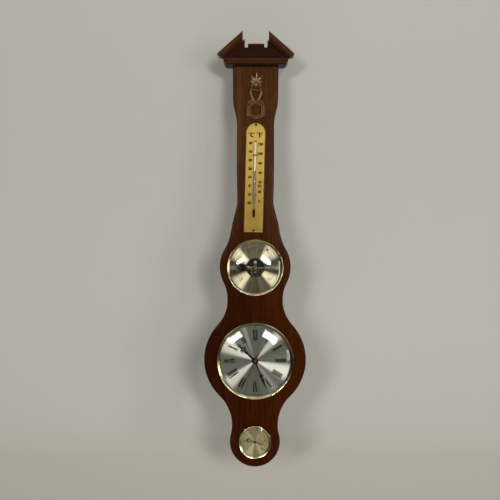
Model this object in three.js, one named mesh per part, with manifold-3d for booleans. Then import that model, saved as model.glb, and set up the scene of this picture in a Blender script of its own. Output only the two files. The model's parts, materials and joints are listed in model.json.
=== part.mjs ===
import * as THREE from "three";
import { mergeVertices } from "three/addons/utils/BufferGeometryUtils.js";
import Module from "manifold-3d";

const wasm = await Module();
wasm.setup();

// Driving dimensions in millimetres. Heights (z) are above the foot of the board,
// depths (u) are in front of the board's front face, and the wall is at y = 0.
const HANG_HEIGHT = 700;
const BOARD_DEPTH = 20;
const BOARD_TOP = 728.2;
const EDGE_BEVEL = 2;
const GAP = 0.3;
const DEGREE = Math.PI / 180;

const FOOT_LOBE = { z: 45.1, r: 45.6 };
const CLOCK_LOBE = { z: 194.5, r: 92.7 };
const BAROMETER_LOBE = { z: 363.5, r: 64.6 };
const LOWER_WAIST = 41.8;
const UPPER_WAIST = 50.3;

const CORNICE = { halfWidth: 58, front: 39, bottom: 728.5, top: 739 };
const TYMPANUM = {
  front: 25, halfWidth: 56, underRakeTop: 10.3, notch: 20.6, notchX: 0.8, sill: 761.2, blockHalf: 14.9,
  blockTop: 768,
};
const RAKE = { angle: 41.6 * DEGREE, tipX: 69.5, tipZ: 746.3, height: 13, length: 66, innerEnd: 23.6 };
const RAKE_END_LEAN = { right: 24 * DEGREE, left: 38 * DEGREE };
const RAKE_FOOT_SLOPE = 15 * DEGREE;
const ORNAMENT_Z = 674.6;

const THERMOMETER = { x: -1.4, z: 525.4, lean: 1.35 * DEGREE, halfWidth: 17.5, halfHeight: 99.5 };
const PLATE_BACK = GAP;
const PLATE_FRONT = 1.5;
const TUBE = { u: 5, r: 3.1, bulb: 2.8, neck: 1.9, bore: 0.75, top: 65.7, bottom: -73.7 };
const COLUMN = { r: 0.5, bottom: -57, top: 11.8, meniscusTop: 13.5 };
const PIN_V = 95.9;

const CLOCK = {
  z: 193, bezel: 70, sight: 66.4, bore: 64, height: 8.2, rise: 6.5, glass: 1.5,
  depth: 16, dialHole: 4.6, glassHole: 0, segments: 48, spacer: true,
};
const BAROMETER = {
  z: 362, bezel: 51.3, sight: 46.4, bore: 46, height: 8, rise: 5, glass: 1.4,
  depth: 17.5, dialHole: 16.2, glassHole: 1.7, segments: 40, spacer: true,
};
const HYGROMETER = {
  z: 45.3, bezel: 29.7, sight: 25.5, bore: 26, height: 6.5, rise: 3, glass: 1.2,
  depth: 12, dialHole: 1.6, glassHole: 0, segments: 32, spacer: false,
};

const HOUR_ANGLE = 313.1 * DEGREE;
const MINUTE_ANGLE = 157.5 * DEGREE;
const SECOND_ANGLE = 205 * DEGREE;
const PRESSURE_ANGLE_ON_DIAL = 270 * DEGREE;
const SET_HAND_ANGLE = 92 * DEGREE;
const HUMIDITY_ANGLE = 106 * DEGREE;

const MOVEMENT_HALF = 28;
const MOVEMENT_WALL = 1.2;
const KNOB_SHAFT_Z = 12;
const BATTERY = { z: -19.3, u: -9.6, r: 7.1 };
const SECTOR_X = -13;

// Materials
function material(color, roughness, metalness) {
  return new THREE.MeshStandardMaterial({ color, roughness, metalness });
}
const MAHOGANY = material(0x4a1d10, 0.4, 0);
const MAHOGANY_DARK = material(0x38120c, 0.4, 0);
const GILT_WOOD = material(0x7a4a20, 0.5, 0.2);
const BRASS = material(0xb8964a, 0.25, 1);
const BRASS_PLATE = material(0xc9a85c, 0.35, 1);
const GLASS = material(0xdfe6e4, 0.05, 0);
const SILVER = material(0xa9aaa4, 0.35, 1);
const GOLD_DIAL = material(0xb5a878, 0.35, 1);
const BLACK = material(0x141414, 0.4, 0.3);
const RED = material(0xa3221c, 0.4, 0);
const STEEL = material(0x8f9194, 0.35, 1);
const PLASTIC = material(0x222222, 0.6, 0);
const LIQUID = material(0x3f5870, 0.3, 0);
const COPPER = material(0xa4603a, 0.4, 1);
const BATTERY_SKIN = material(0x3b4a5c, 0.4, 0.3);

// Solids. A solid is turned about, or extruded along, the direction out of the wall (-y).
function toSolid(geometry) {
  const bare = geometry.clone();
  bare.deleteAttribute("normal");
  bare.deleteAttribute("uv");
  const merged = mergeVertices(bare, 1e-4);
  return new wasm.Manifold(new wasm.Mesh({
    numProp: 3,
    vertProperties: new Float32Array(merged.attributes.position.array),
    triVerts: new Uint32Array(merged.index.array),
  }));
}

function toGeometry(solid) {
  const mesh = solid.getMesh();
  const geometry = new THREE.BufferGeometry();
  geometry.setAttribute("position", new THREE.BufferAttribute(mesh.vertProperties, 3));
  geometry.setIndex(new THREE.BufferAttribute(mesh.triVerts, 1));
  return geometry;
}

function join(...geometries) {
  return toGeometry(geometries.map(toSolid).reduce((a, b) => a.add(b)));
}

function cut(geometry, ...tools) {
  return toGeometry(tools.map(toSolid).reduce((a, b) => a.subtract(b), toSolid(geometry)));
}

function common(a, b) {
  return toGeometry(toSolid(a).intersect(toSolid(b)));
}

// A turned solid from a profile of [radius, u] points, which starts and ends on the axis or closes.
function turned(profile, segments = 24) {
  const points = profile.map(([r, u]) => new THREE.Vector2(r, u));
  const closed = profile[0][0] > 0;
  if (closed) points.push(points[0].clone());
  if (THREE.ShapeUtils.area(points) < 0) points.reverse();
  return new THREE.LatheGeometry(points, segments).rotateX(Math.PI);
}

function disc(r, u0, u1, segments = 24) {
  return turned([[0, u0], [r, u0], [r, u1], [0, u1]], segments);
}

function ring(inner, outer, u0, u1, segments = 24) {
  return turned([[inner, u0], [outer, u0], [outer, u1], [inner, u1]], segments);
}

function plate(shape, u0, u1, options = {}) {
  const settings = { depth: u1 - u0, bevelEnabled: false, curveSegments: 6, ...options };
  return new THREE.ExtrudeGeometry(shape, settings).translate(0, 0, u0).rotateX(Math.PI / 2);
}

// An extrusion whose front edge is bevelled inwards, so its outline keeps its size.
function cushionedPlate(shape, u0, u1, bevel) {
  const settings = {
    depth: u1 - u0 - bevel, bevelEnabled: true, bevelThickness: bevel, bevelSize: bevel,
    bevelOffset: -bevel, bevelSegments: 1, curveSegments: 6,
  };
  const solid = new THREE.ExtrudeGeometry(shape, settings).translate(0, 0, u0).rotateX(Math.PI / 2);
  return cut(solid, block([-200, 200], [u0 - 2 * bevel, u0], [-900, 900]));
}

function block([x0, x1], [u0, u1], [z0, z1]) {
  const box = new THREE.BoxGeometry(x1 - x0, u1 - u0, z1 - z0);
  return box.translate((x0 + x1) / 2, -(u0 + u1) / 2, (z0 + z1) / 2);
}

function polygon(points) {
  return new THREE.Shape(points.map(([x, z]) => new THREE.Vector2(x, z)));
}

// A closed outline from its right half, listed upwards or downwards, and its mirror image.
function symmetric(half) {
  const left = half.filter(([x]) => Math.abs(x) > 1e-6).map(([x, z]) => [-x, z]);
  return polygon([...half, ...left.reverse()]);
}

function circleHole(x, z, r) {
  return new THREE.Path().absarc(x, z, r, 0, 2 * Math.PI, true);
}

function mirrored(geometry) {
  const flipped = geometry.clone().scale(-1, 1, 1);
  const index = flipped.index.array;
  for (let i = 0; i < index.length; i += 3) {
    [index[i], index[i + 1]] = [index[i + 1], index[i]];
  }
  return flipped;
}

function add(parent, name, geometry, paint) {
  const mesh = new THREE.Mesh(geometry, paint);
  mesh.name = name;
  parent.add(mesh);
}

function turnedGroup(parent, angle) {
  const group = new THREE.Group();
  group.rotation.y = angle;
  parent.add(group);
  return group;
}

// Back board: three round lobes on one axis, joined by waists that touch them both.
function waistArc(lower, upper, halfWidth) {
  const reach = (lobe, r) => Math.sqrt((lobe.r - halfWidth) * (lobe.r + halfWidth + 2 * r));
  let low = 1;
  let high = 400;
  for (let step = 0; step < 50; step += 1) {
    const r = (low + high) / 2;
    if (reach(lower, r) + reach(upper, r) < upper.z - lower.z) low = r;
    else high = r;
  }
  return { x: halfWidth + low, z: lower.z + reach(lower, low), r: low };
}

function angleTo(from, to) {
  return Math.atan2(to.z - from.z, (to.x ?? 0) - (from.x ?? 0));
}

function boardOutline() {
  const lowerWaist = waistArc(FOOT_LOBE, CLOCK_LOBE, LOWER_WAIST);
  const upperWaist = waistArc(CLOCK_LOBE, BAROMETER_LOBE, UPPER_WAIST);
  const shoulder = 31.5 * DEGREE;
  const side = new THREE.Path();
  const lobe = (circle, from, to) => side.absarc(0, circle.z, circle.r, from, to, false);
  const waist = (arc, from, to) => side.absarc(
    arc.x, arc.z, arc.r, angleTo(arc, from) + 2 * Math.PI, (angleTo(arc, to) + 2 * Math.PI) % (2 * Math.PI), true);
  lobe(FOOT_LOBE, -Math.PI / 2, angleTo(FOOT_LOBE, lowerWaist));
  waist(lowerWaist, FOOT_LOBE, CLOCK_LOBE);
  lobe(CLOCK_LOBE, angleTo(CLOCK_LOBE, lowerWaist), angleTo(CLOCK_LOBE, upperWaist));
  waist(upperWaist, CLOCK_LOBE, BAROMETER_LOBE);
  lobe(BAROMETER_LOBE, angleTo(BAROMETER_LOBE, upperWaist), shoulder);
  side.bezierCurveTo(47.6, 408.8, 44.8, 425.2, 42.9, 437);
  side.bezierCurveTo(40.3, 452.8, 33, 470, 33, 484);
  side.lineTo(34, 540);
  side.lineTo(33.8, 620);
  side.bezierCurveTo(33.8, 642, 41, 652, 41.2, 668);
  side.lineTo(41.7, BOARD_TOP);
  return symmetric(side.getPoints(6).map((p) => [Math.max(p.x, 0), p.y]));
}

const PIN_HOLE = { r: 1.2, depth: 8 };
const HANGER = { width: 20, top: 20, bottom: -26, depth: 1.6, keyholeZ: -10 };

function backBoard() {
  const blank = cushionedPlate(boardOutline(), 0, BOARD_DEPTH, EDGE_BEVEL);
  const bores = [CLOCK, BAROMETER, HYGROMETER].map(
    ({ z, bore, segments }) => disc(bore, -1, BOARD_DEPTH + 1, segments).translate(0, 0, z));
  const pinHoles = [PIN_V, -PIN_V].map((v) => disc(PIN_HOLE.r, BOARD_DEPTH - PIN_HOLE.depth, BOARD_DEPTH + 1, 12)
    .translate(THERMOMETER.x + v * Math.sin(THERMOMETER.lean), 0, THERMOMETER.z + v * Math.cos(THERMOMETER.lean)));
  const half = HANGER.width / 2 + GAP;
  const rebate = block([-half, half], [-1, HANGER.depth + GAP],
    [HANG_HEIGHT + HANGER.bottom - GAP, HANG_HEIGHT + HANGER.top + GAP]);
  const pocket = block([-7, 7], [-1, 9], [HANG_HEIGHT - 17, HANG_HEIGHT + 6]);
  const screwHoles = HANGER_SCREWS.map((z) => disc(1.5, -1, 13, 12).translate(0, 0, HANG_HEIGHT + z));
  return cut(blank, ...bores, ...pinHoles, rebate, pocket, ...screwHoles);
}

// Hanger: a steel keyhole plate let into the back, whose slot top is the hanging point.
const HANGER_SCREWS = [14, -22];

function hangerPlate() {
  const outline = polygon([
    [-HANGER.width / 2, HANGER.bottom], [HANGER.width / 2, HANGER.bottom],
    [HANGER.width / 2, HANGER.top], [-HANGER.width / 2, HANGER.top],
  ]);
  const keyhole = new THREE.Path();
  const slot = 2.4;
  const eye = 4.8;
  const shoulder = Math.asin(slot / eye);
  keyhole.absarc(0, HANGER.keyholeZ, eye, Math.PI / 2 + shoulder, Math.PI / 2 - shoulder + 2 * Math.PI, false);
  keyhole.absarc(0, 0, slot, 0, Math.PI, false);
  outline.holes.push(keyhole);
  const countersinks = HANGER_SCREWS.map(
    (z) => turned([[0, -0.2], [3.4, -0.2], [1.6, 2], [0, 2]], 14).translate(0, 0, z));
  return cut(plate(outline, 0.1, HANGER.depth), ...countersinks);
}

function woodScrew() {
  return turned([[0, 12.5], [1.2, 10.5], [1.2, 1.8], [2.8, 0.1], [0, 0.1]], 12);
}

// Pediment: cornice, tympanum with its plinth block, and two raking mouldings.
const CORNICE_STEPS = [[6.6, 0], [3.5, 0.8], [1.2, 2.5], [0.6, 4.3], [0, 4.6], [0, 10.5]];

function cornice() {
  const heights = CORNICE_STEPS.map(([inset, rise]) => [CORNICE.halfWidth - inset, CORNICE.bottom + rise]);
  const ends = plate(symmetric(heights), -BOARD_DEPTH, CORNICE.front - BOARD_DEPTH);
  const section = CORNICE_STEPS.map(([inset, rise]) => [CORNICE.front - inset, CORNICE.bottom + rise]);
  section.push([0, CORNICE.top], [0, CORNICE.bottom]);
  const front = new THREE.ExtrudeGeometry(polygon(section), { depth: 120, bevelEnabled: false });
  front.translate(0, 0, -60).applyMatrix4(outAndUp(new THREE.Vector3(0, 0, 1)));
  return common(ends.translate(0, -BOARD_DEPTH, 0), front);
}

// The frame whose x runs out of the wall and whose y runs along the given direction.
function outAndUp(up) {
  const out = new THREE.Vector3(0, -1, 0);
  return new THREE.Matrix4().makeBasis(out, up, new THREE.Vector3().crossVectors(out, up));
}

function tympanum() {
  const { halfWidth, underRakeTop, notch, notchX, sill, blockHalf, blockTop } = TYMPANUM;
  const slope = (x) => (
    RAKE.tipZ + (RAKE.tipX - x) * Math.tan(RAKE.angle) - underRakeTop / Math.cos(RAKE.angle));
  const half = (shift) => [
    [halfWidth, CORNICE.top + GAP], [halfWidth, slope(halfWidth)], [notch + shift, slope(notch + shift)],
    [notch + shift, sill], [blockHalf + shift, sill], [blockHalf + shift, blockTop],
  ];
  const left = half(-notchX).map(([x, z]) => [-x, z]).reverse();
  return plate(polygon([...half(notchX), ...left]), 0, TYMPANUM.front);
}

// A raking moulding of the right side. Its outer end leans in towards the foot, which rises to the tip.
function rake(endLean) {
  const back = TYMPANUM.front + GAP;
  const top = RAKE.height;
  const section = polygon([
    [back, 0], [28, 0], [28, 2.6], [29.5, 3.2], [31, 5.8], [34, 8.6], [38.5, 10.4], [38.5, 11], [41, 11],
    [41, top], [back, top],
  ]);
  const up = new THREE.Vector3(Math.sin(RAKE.angle), 0, Math.cos(RAKE.angle));
  const along = new THREE.Vector3(-up.z, 0, up.x);
  const bar = new THREE.ExtrudeGeometry(section, { depth: RAKE.length + top, bevelEnabled: false });
  const start = new THREE.Vector3(RAKE.tipX, 0, RAKE.tipZ).addScaledVector(up, -top).addScaledVector(along, -top);
  bar.applyMatrix4(outAndUp(up)).translate(start.x, start.y, start.z);
  const foot = CORNICE.top + GAP;
  const inside = block([-90, 0], [-1, 60], [-90, 90]).rotateY(endLean).translate(RAKE.tipX, 0, RAKE.tipZ);
  const above = block([-90, 90], [-1, 60], [0, 90]).rotateY(-RAKE_FOOT_SLOPE).translate(CORNICE.halfWidth, 0, foot);
  const within = block([RAKE.innerEnd, RAKE.tipX], [-1, 60], [foot, 800]);
  return [inside, above, within].reduce(common, bar);
}

// Carved ornament: leaf spray over a vase, a hexagon and two pilasters, all on one stem.
function leaf(angle, length, width) {
  const outline = polygon([
    [0, 0], [width * 0.32, length * 0.3], [width * 0.5, length * 0.58], [width * 0.3, length * 0.84],
    [0, length], [-width * 0.3, length * 0.84], [-width * 0.5, length * 0.58], [-width * 0.32, length * 0.3],
  ]);
  return cushionedPlate(outline, GAP, 4.4, 1).rotateY(angle * DEGREE);
}

function ornament() {
  const spray = [
    [0, 17, 7], [40, 14, 6], [-40, 14, 6], [85, 11, 5], [-85, 11, 5], [130, 12, 5], [-130, 12, 5],
  ].map(([angle, length, width]) => leaf(angle, length, width).translate(0, 0, 24.5));
  const heart = turned([[0, GAP], [3.6, GAP], [3, 4.6], [0, 5.4]], 8).translate(0, 0, 24.5);
  const stem = block([-2, 2], [GAP, 2], [-42, 26]);
  const bar = block([-5.2, 5.2], [GAP, 4], [10.4, 13.2]);
  const vase = cushionedPlate(symmetric([
    [0, -12.5], [4, -7], [9.5, 2], [11.8, 8], [9, 14.6], [4, 12.4], [0, 11.4],
  ]), GAP, 4.6, 1.4);
  const scrolls = [1, -1].map((side) => cushionedPlate(polygon([
    [-4 * side, -7], [0, -9], [13.6 * side, -14.6], [11.4 * side, -18.4], [0, -13.4],
  ].reverse()), GAP, 3.8, 0.9));
  const hexagon = cushionedPlate(symmetric([
    [0, -37.2], [10.4, -31], [10.4, -18.4], [0, -13.6],
  ]), GAP, 4.2, 1.2);
  const pilasters = [[-17.2, -11.4], [11.4, 17.2]].map((span) => block(span, [GAP, 3.4], [-35.5, -15]));
  const base = block([-16.6, 16.6], [GAP, 2], [-34, -19]);
  const drop = cushionedPlate(symmetric([[0, -43], [4.4, -37], [0, -34]]), GAP, 3.6, 0.8);
  return join(...spray, heart, stem, bar, vase, ...scrolls, hexagon, ...pilasters, base, drop);
}

// Thermometer: the group stands at the plate's centre, so v runs up the plate.
function thermometerPlate() {
  const { halfWidth, halfHeight } = THERMOMETER;
  const outline = new THREE.Shape();
  outline.moveTo(-halfWidth, -halfHeight);
  outline.lineTo(halfWidth, -halfHeight);
  outline.lineTo(halfWidth, halfHeight - halfWidth);
  outline.absarc(0, halfHeight - halfWidth, halfWidth, 0, Math.PI, false);
  outline.closePath();
  outline.holes.push(circleHole(0, PIN_V, 1.15), circleHole(0, -PIN_V, 1.15));
  return plate(outline, PLATE_BACK, PLATE_FRONT);
}

function upright(profile, segments) {
  const points = profile.map(([r, v]) => new THREE.Vector2(r, v));
  if (THREE.ShapeUtils.area(points) < 0) points.reverse();
  return new THREE.LatheGeometry(points, segments).rotateX(Math.PI / 2).translate(0, -TUBE.u, 0);
}

function thermometerTube() {
  const { r, bulb, neck, bore, top, bottom } = TUBE;
  return upright([
    [0, bottom], [bulb * 0.75, bottom + 0.6], [bulb, bottom + 2.4], [bulb, -59.4], [neck, -57.3],
    [neck, -47], [r, -45.5], [r, top], [bore, top], [bore, -57], [2.1, -59.6], [2.1, -72], [0, -72.6],
  ], 14);
}

function thermometerClip() {
  const arch = new THREE.Shape();
  const outer = TUBE.r + 0.8;
  const inner = TUBE.r + 0.25;
  const foot = PLATE_FRONT + 0.2 - TUBE.u;
  arch.moveTo(-outer - 2.4, foot);
  arch.lineTo(-inner, foot);
  arch.lineTo(-inner, 0);
  arch.absarc(0, 0, inner, Math.PI, 0, true);
  arch.lineTo(inner, foot);
  arch.lineTo(outer + 2.4, foot);
  arch.lineTo(outer + 2.4, foot + 0.6);
  arch.lineTo(outer, foot + 0.6);
  arch.lineTo(outer, 0);
  arch.absarc(0, 0, outer, 0, Math.PI, false);
  arch.lineTo(-outer, foot + 0.6);
  arch.lineTo(-outer - 2.4, foot + 0.6);
  const strap = new THREE.ExtrudeGeometry(arch, { depth: 2.4, bevelEnabled: false, curveSegments: 4 });
  return strap.translate(0, 0, -1.2).rotateX(Math.PI).translate(0, -TUBE.u, 0);
}

function addThermometer(parent) {
  const group = turnedGroup(parent, THERMOMETER.lean);
  group.position.set(THERMOMETER.x, -BOARD_DEPTH, THERMOMETER.z);
  add(group, "thermometer_plate", thermometerPlate(), BRASS_PLATE);
  const pin = turned([[0, -6.5], [0.85, -5.5], [0.85, 1.7], [2.1, 1.7], [1.7, 2.5], [0, 2.9]], 12);
  add(group, "plate_pin_top", pin.clone().translate(0, 0, PIN_V), BRASS);
  add(group, "plate_pin_bottom", pin.clone().translate(0, 0, -PIN_V), BRASS);
  add(group, "thermometer_tube", thermometerTube(), GLASS);
  add(group, "thermometer_clip_top", thermometerClip().translate(0, 0, 40.6), BRASS);
  add(group, "thermometer_clip_bottom", thermometerClip().translate(0, 0, -30.9), BRASS);
  const bulb = upright([[0, -72.2], [1.8, -71.6], [1.8, -60], [COLUMN.r, -57.6], [0, -57.6]], 10);
  add(group, "thermometer_bulb_liquid", bulb, LIQUID);
  const rod = (bottom, top) => upright([[0, bottom], [COLUMN.r, bottom], [COLUMN.r, top], [0, top]], 8);
  add(group, "thermometer_column", rod(COLUMN.bottom, COLUMN.top), LIQUID);
  add(group, "thermometer_meniscus", rod(COLUMN.top + 0.2, COLUMN.meniscusTop), LIQUID);
}

// Round instruments share a cup, a bezel, a domed glass and the ring that spaces it from the dial.
const DIAL_BACK = 1.3;
const DIAL_FRONT = 1.9;

function cup({ bore, bezel, depth, segments }, backHole = 0) {
  const wall = bore - 1.2;
  const flange = bezel - 1.8;
  return turned([
    [backHole, -depth], [wall, -depth], [wall, GAP], [flange, GAP], [flange, 1], [wall - 1, 1],
    [wall - 1, 1 - depth], [backHole, 1 - depth],
  ], segments);
}

function bezelRing({ bezel, sight, height, segments }) {
  const width = bezel - sight;
  const inner = bezel - 0.9;
  return turned([
    [bezel, GAP], [bezel, height * 0.45], [bezel - width * 0.34, height * 0.88],
    [bezel - width * 0.75, height], [sight, height - 0.6], [sight, height - 1.2],
    [inner - width * 0.3, height * 0.8], [inner, height * 0.42], [inner, GAP],
  ], segments);
}

function glassDome({ sight, height, rise, glass, glassHole, segments }) {
  const edge = sight + 1;
  const sphere = (edge * edge + rise * rise) / (2 * rise);
  const rim = height - 1.8;
  const crown = (r) => Math.sqrt(sphere * sphere - r * r) - (sphere - rise);
  const radii = [1, 0.7, 0.35, 0].map((part) => glassHole + (edge - glassHole) * part);
  const outer = radii.map((r) => [r, rim + crown(r)]);
  const inner = radii.map((r) => [r, rim - glass + crown(r)]).reverse();
  return turned([...outer, ...inner, outer[0]].slice(0, -1), segments);
}

function addInstrument(parent, name, spec, caseGeometry, metal, face) {
  const group = new THREE.Group();
  group.position.set(0, -BOARD_DEPTH, spec.z);
  parent.add(group);
  const dialEdge = spec.bezel - 2.7;
  const ringTop = spec.height - 1.8 - spec.glass - 0.2;
  const { segments, sight, dialHole } = spec;
  add(group, `${name}_case`, caseGeometry, metal);
  add(group, `${name}_dial`, ring(dialHole, dialEdge, DIAL_BACK, DIAL_FRONT, segments), face);
  add(group, `${name}_bezel`, bezelRing(spec), BRASS);
  add(group, `${name}_glass`, glassDome(spec), GLASS);
  if (spec.spacer) {
    add(group, `${name}_sight_ring`, ring(sight + 0.2, sight + 0.8, DIAL_FRONT + 0.2, ringTop, segments), face);
  }
  return group;
}

// Gears: involute teeth at 20 degrees, thinned for backlash, as [x, z] points in turn order.
const PRESSURE_ANGLE = 20 * DEGREE;
const BACKLASH = 0.14;

function toothPoints(teeth, size, addendum, centre) {
  const pitch = (teeth * size) / 2;
  const base = pitch * Math.cos(PRESSURE_ANGLE);
  const root = pitch - 1.15 * size;
  const tip = pitch + addendum * size;
  const involute = (angle) => Math.tan(angle) - angle;
  const halfAt = (r) => (Math.PI / (2 * teeth)) * (1 - BACKLASH) + involute(PRESSURE_ANGLE)
    - involute(Math.acos(Math.min(base / Math.max(r, base), 1)));
  const flank = teeth > 20 ? [root, pitch, tip] : [root, Math.max(base, root + 0.05 * size), pitch, tip];
  const at = (r, angle) => [r * Math.cos(angle), r * Math.sin(angle)];
  const rising = flank.map((r) => at(r, centre - halfAt(r)));
  const falling = flank.map((r) => at(r, centre + halfAt(r))).reverse();
  return [...rising, ...falling];
}

function gear(teeth, size, addendum, firstTooth, u0, u1) {
  const points = [];
  for (let tooth = 0; tooth < teeth; tooth += 1) {
    points.push(...toothPoints(teeth, size, addendum, firstTooth + (tooth * 2 * Math.PI) / teeth));
  }
  return plate(polygon(points), u0, u1);
}

// Clock hands point up the dial until their group is turned to the time.
function handBlade(half, hub, hole, u0, u1) {
  const blade = plate(symmetric(half), u0, u1);
  return cut(join(blade, disc(hub, u0, u1, 16)), disc(hole, u0 - 1, u1 + 1, 16));
}

const HOUR_BLADE = [
  [1, 0], [1, 22], [2.6, 23.6], [1.2, 25.4], [1.4, 27.4], [4.6, 26.6], [5.4, 29.2], [3.6, 31],
  [1.4, 30.4], [2.2, 33.6], [0.8, 36], [0.6, 40], [0, 44],
];
const MINUTE_BLADE = [
  [0.9, 0], [1, 26], [2.6, 28.4], [1.1, 30.6], [1.1, 33], [2.2, 36.4], [1, 40], [0.6, 48], [0, 52.8],
];
const SECOND_BLADE = [[0, -16], [1.4, -15], [1.2, -5], [0.5, 0], [0.35, 30], [0, 48]];

const MOTION = { size: 0.5, pinion: 12, wheel: 36, back: -10, front: -8 };
const HOUR_TRAIN = { size: 0.48, pinion: 10, wheel: 40, back: -6.5, front: -5.5 };
const WHEEL_ADDENDUM = 0.62;
const PINION_ADDENDUM = 0.85;

function movementHousing() {
  const half = MOVEMENT_HALF;
  const bay = half - MOVEMENT_WALL;
  const shell = block([-half, half], [-13.8, -1], [-half, half]);
  const gearBay = block([-bay, bay], [-15, -2.2], [-10.6, bay]);
  const batteryBay = block([-bay, bay], [-15, -2.2], [-bay, -11.8]);
  const bush = disc(4, -1.6, 3.8, 20);
  return cut(join(cut(shell, gearBay, batteryBay), bush), disc(3.1, -3, 5, 20));
}

function movementCover() {
  const half = MOVEMENT_HALF;
  const bay = half - MOVEMENT_WALL;
  const cover = block([-half, half], [-17, -14.1], [-half, half]);
  const window = block([-bay, bay], [-18, -13], [-bay, -11.8]);
  return cut(cover, window, disc(1.7, -18, -13, 12).translate(0, 0, KNOB_SHAFT_Z));
}

function batteryCell() {
  const cell = turned([[0, -24.4], [7.1, -24.4], [7.1, 23], [2.7, 23], [2.7, 24.4], [0, 24.4]], 20);
  return cell.rotateZ(Math.PI / 2).translate(0, -BATTERY.u, BATTERY.z);
}

function batteryContact(side) {
  const tab = block([25.8, 26.3], [-14, -5], [-24, -14]);
  const nib = turned([[0, -1], [2.4, -1], [0.8, 0.9], [0, 0.9]], 10)
    .rotateZ(-Math.PI / 2).translate(25.6, -BATTERY.u, BATTERY.z);
  const contact = join(tab, nib);
  return side > 0 ? contact : mirrored(contact);
}

function stepperCoil() {
  const bobbin = turned([
    [0, 0], [3.6, 0], [3.6, 1], [2.9, 1], [2.9, 13], [3.6, 13], [3.6, 14], [0, 14],
  ], 12);
  return bobbin.rotateZ(Math.PI / 2).translate(-25, 8, 21);
}

function addClock(parent) {
  const opening = MOVEMENT_HALF + 0.7;
  const shell = cut(cup(CLOCK), block([-opening, opening], [-18, -14], [-opening, opening]));
  const group = addInstrument(parent, "clock", CLOCK, shell, STEEL, SILVER);
  add(group, "movement_housing", movementHousing(), PLASTIC);
  add(group, "movement_cover", movementCover(), PLASTIC);
  const hexagon = new THREE.Shape(new THREE.EllipseCurve(0, 0, 6, 6).getPoints(6).slice(0, 6));
  hexagon.holes.push(circleHole(0, 0, 4.25));
  add(group, "movement_nut", plate(hexagon, DIAL_FRONT + 0.2, 3.6), BRASS);
  add(group, "battery", batteryCell(), BATTERY_SKIN);
  add(group, "battery_contact_positive", batteryContact(1), STEEL);
  add(group, "battery_contact_negative", batteryContact(-1), STEEL);
  add(group, "stepper_coil", stepperCoil(), COPPER);

  const upwards = Math.PI / 2;
  const { size, pinion, wheel, back, front } = MOTION;
  const cannon = join(gear(pinion, size, PINION_ADDENDUM, upwards, back, front), disc(1.5, -11, 6.9, 16));
  add(group, "cannon_pinion", cut(cannon, disc(0.85, -12, 8, 12)), BRASS);
  const meshing = -upwards + Math.PI / wheel;
  const motionWheel = join(
    gear(wheel, size, WHEEL_ADDENDUM, meshing, back, front),
    gear(HOUR_TRAIN.pinion, HOUR_TRAIN.size, PINION_ADDENDUM, -upwards, HOUR_TRAIN.back - 0.3, HOUR_TRAIN.front + 0.3),
    disc(1.3, -18.6, -3, 12));
  add(group, "motion_wheel", motionWheel.translate(0, 0, KNOB_SHAFT_Z), PLASTIC);
  const knob = turned([[0, -19.4], [4.6, -19.4], [5, -19], [5, -17.3], [1.6, -17.3], [1.6, -18.8], [0, -18.8]], 18);
  add(group, "setting_knob", knob.translate(0, 0, KNOB_SHAFT_Z), PLASTIC);
  const hourGear = gear(HOUR_TRAIN.wheel, HOUR_TRAIN.size, WHEEL_ADDENDUM,
    upwards + Math.PI / HOUR_TRAIN.wheel, HOUR_TRAIN.back, HOUR_TRAIN.front);
  add(group, "hour_wheel", cut(join(hourGear, disc(2.6, -7, 5, 16)), disc(1.9, -8, 6, 16)), PLASTIC);

  const hourGroup = turnedGroup(group, HOUR_ANGLE);
  add(hourGroup, "hour_hand", handBlade(HOUR_BLADE, 5.4, 2.8, 4.2, 4.8), BLACK);
  const minuteGroup = turnedGroup(group, MINUTE_ANGLE);
  add(minuteGroup, "minute_hand", handBlade(MINUTE_BLADE, 4.2, 1.7, 6, 6.6), BLACK);
  const secondGroup = turnedGroup(group, SECOND_ANGLE);
  const arbor = join(
    disc(0.5, -12.9, 8.6, 10), disc(6.5, -12.8, -12, 20), turned([[0, 7.7], [2.4, 7.7], [2.1, 9.2], [0, 9.8]], 12),
    plate(symmetric(SECOND_BLADE), 7.9, 8.3));
  add(secondGroup, "second_hand", arbor, RED);
}

// Barometer: the works stand on a base plate behind the open centre of the dial.
const POINTER_BLADE = [
  [1.4, -14], [0.8, -9], [0.9, 0], [0.8, 18], [3.4, 22], [4, 25], [2.2, 29], [0.8, 31], [0.5, 36], [0, 41],
];
const SET_BLADE = [[1.6, -12], [1.4, 0], [1.1, 28], [2.4, 31], [0, 37]];
const SECTOR = { size: 0.26, teeth: 90, pinion: 10, back: -4.7, front: -3.9 };

function aneroidCapsule() {
  const waves = [[18.6, -14.4], [18.6, -12.4], [16, -11], [13.5, -11.6], [11, -10.6], [8.5, -11.2],
    [6, -10], [3, -9.7], [3, -7.9]];
  return turned([[0, -14.4], ...waves, [0, -7.9]], 24).translate(0, 0, -8);
}

function capsuleSpring() {
  const profile = polygon([
    [27, -14.7], [27, -6.4], [-8, -6.4], [-8, -7.4], [25.6, -7.4], [25.6, -14.7],
  ].map(([x, u]) => [x, -u]));
  const strip = new THREE.ExtrudeGeometry(profile, { depth: 9, bevelEnabled: false });
  return strip.translate(0, 0, -12.5);
}

function sectorLever() {
  const { size, teeth, back, front } = SECTOR;
  const step = (2 * Math.PI) / teeth;
  const points = [];
  for (let tooth = -8; tooth <= 3; tooth += 1) {
    points.push(...toothPoints(teeth, size, 0.5, tooth * step + step / 2));
  }
  points.push([10.6, 3.2], [7, 1.6], [2.4, 2], [1, 3], [-3, 2.6], [-6, 1], [-6, -1], [-3, -2.6], [0, -3],
    [4, -4], [9.2, -6.2]);
  const lever = plate(polygon(points), back, front);
  return cut(lever, disc(1.3, back - 1, front + 1, 14));
}

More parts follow.
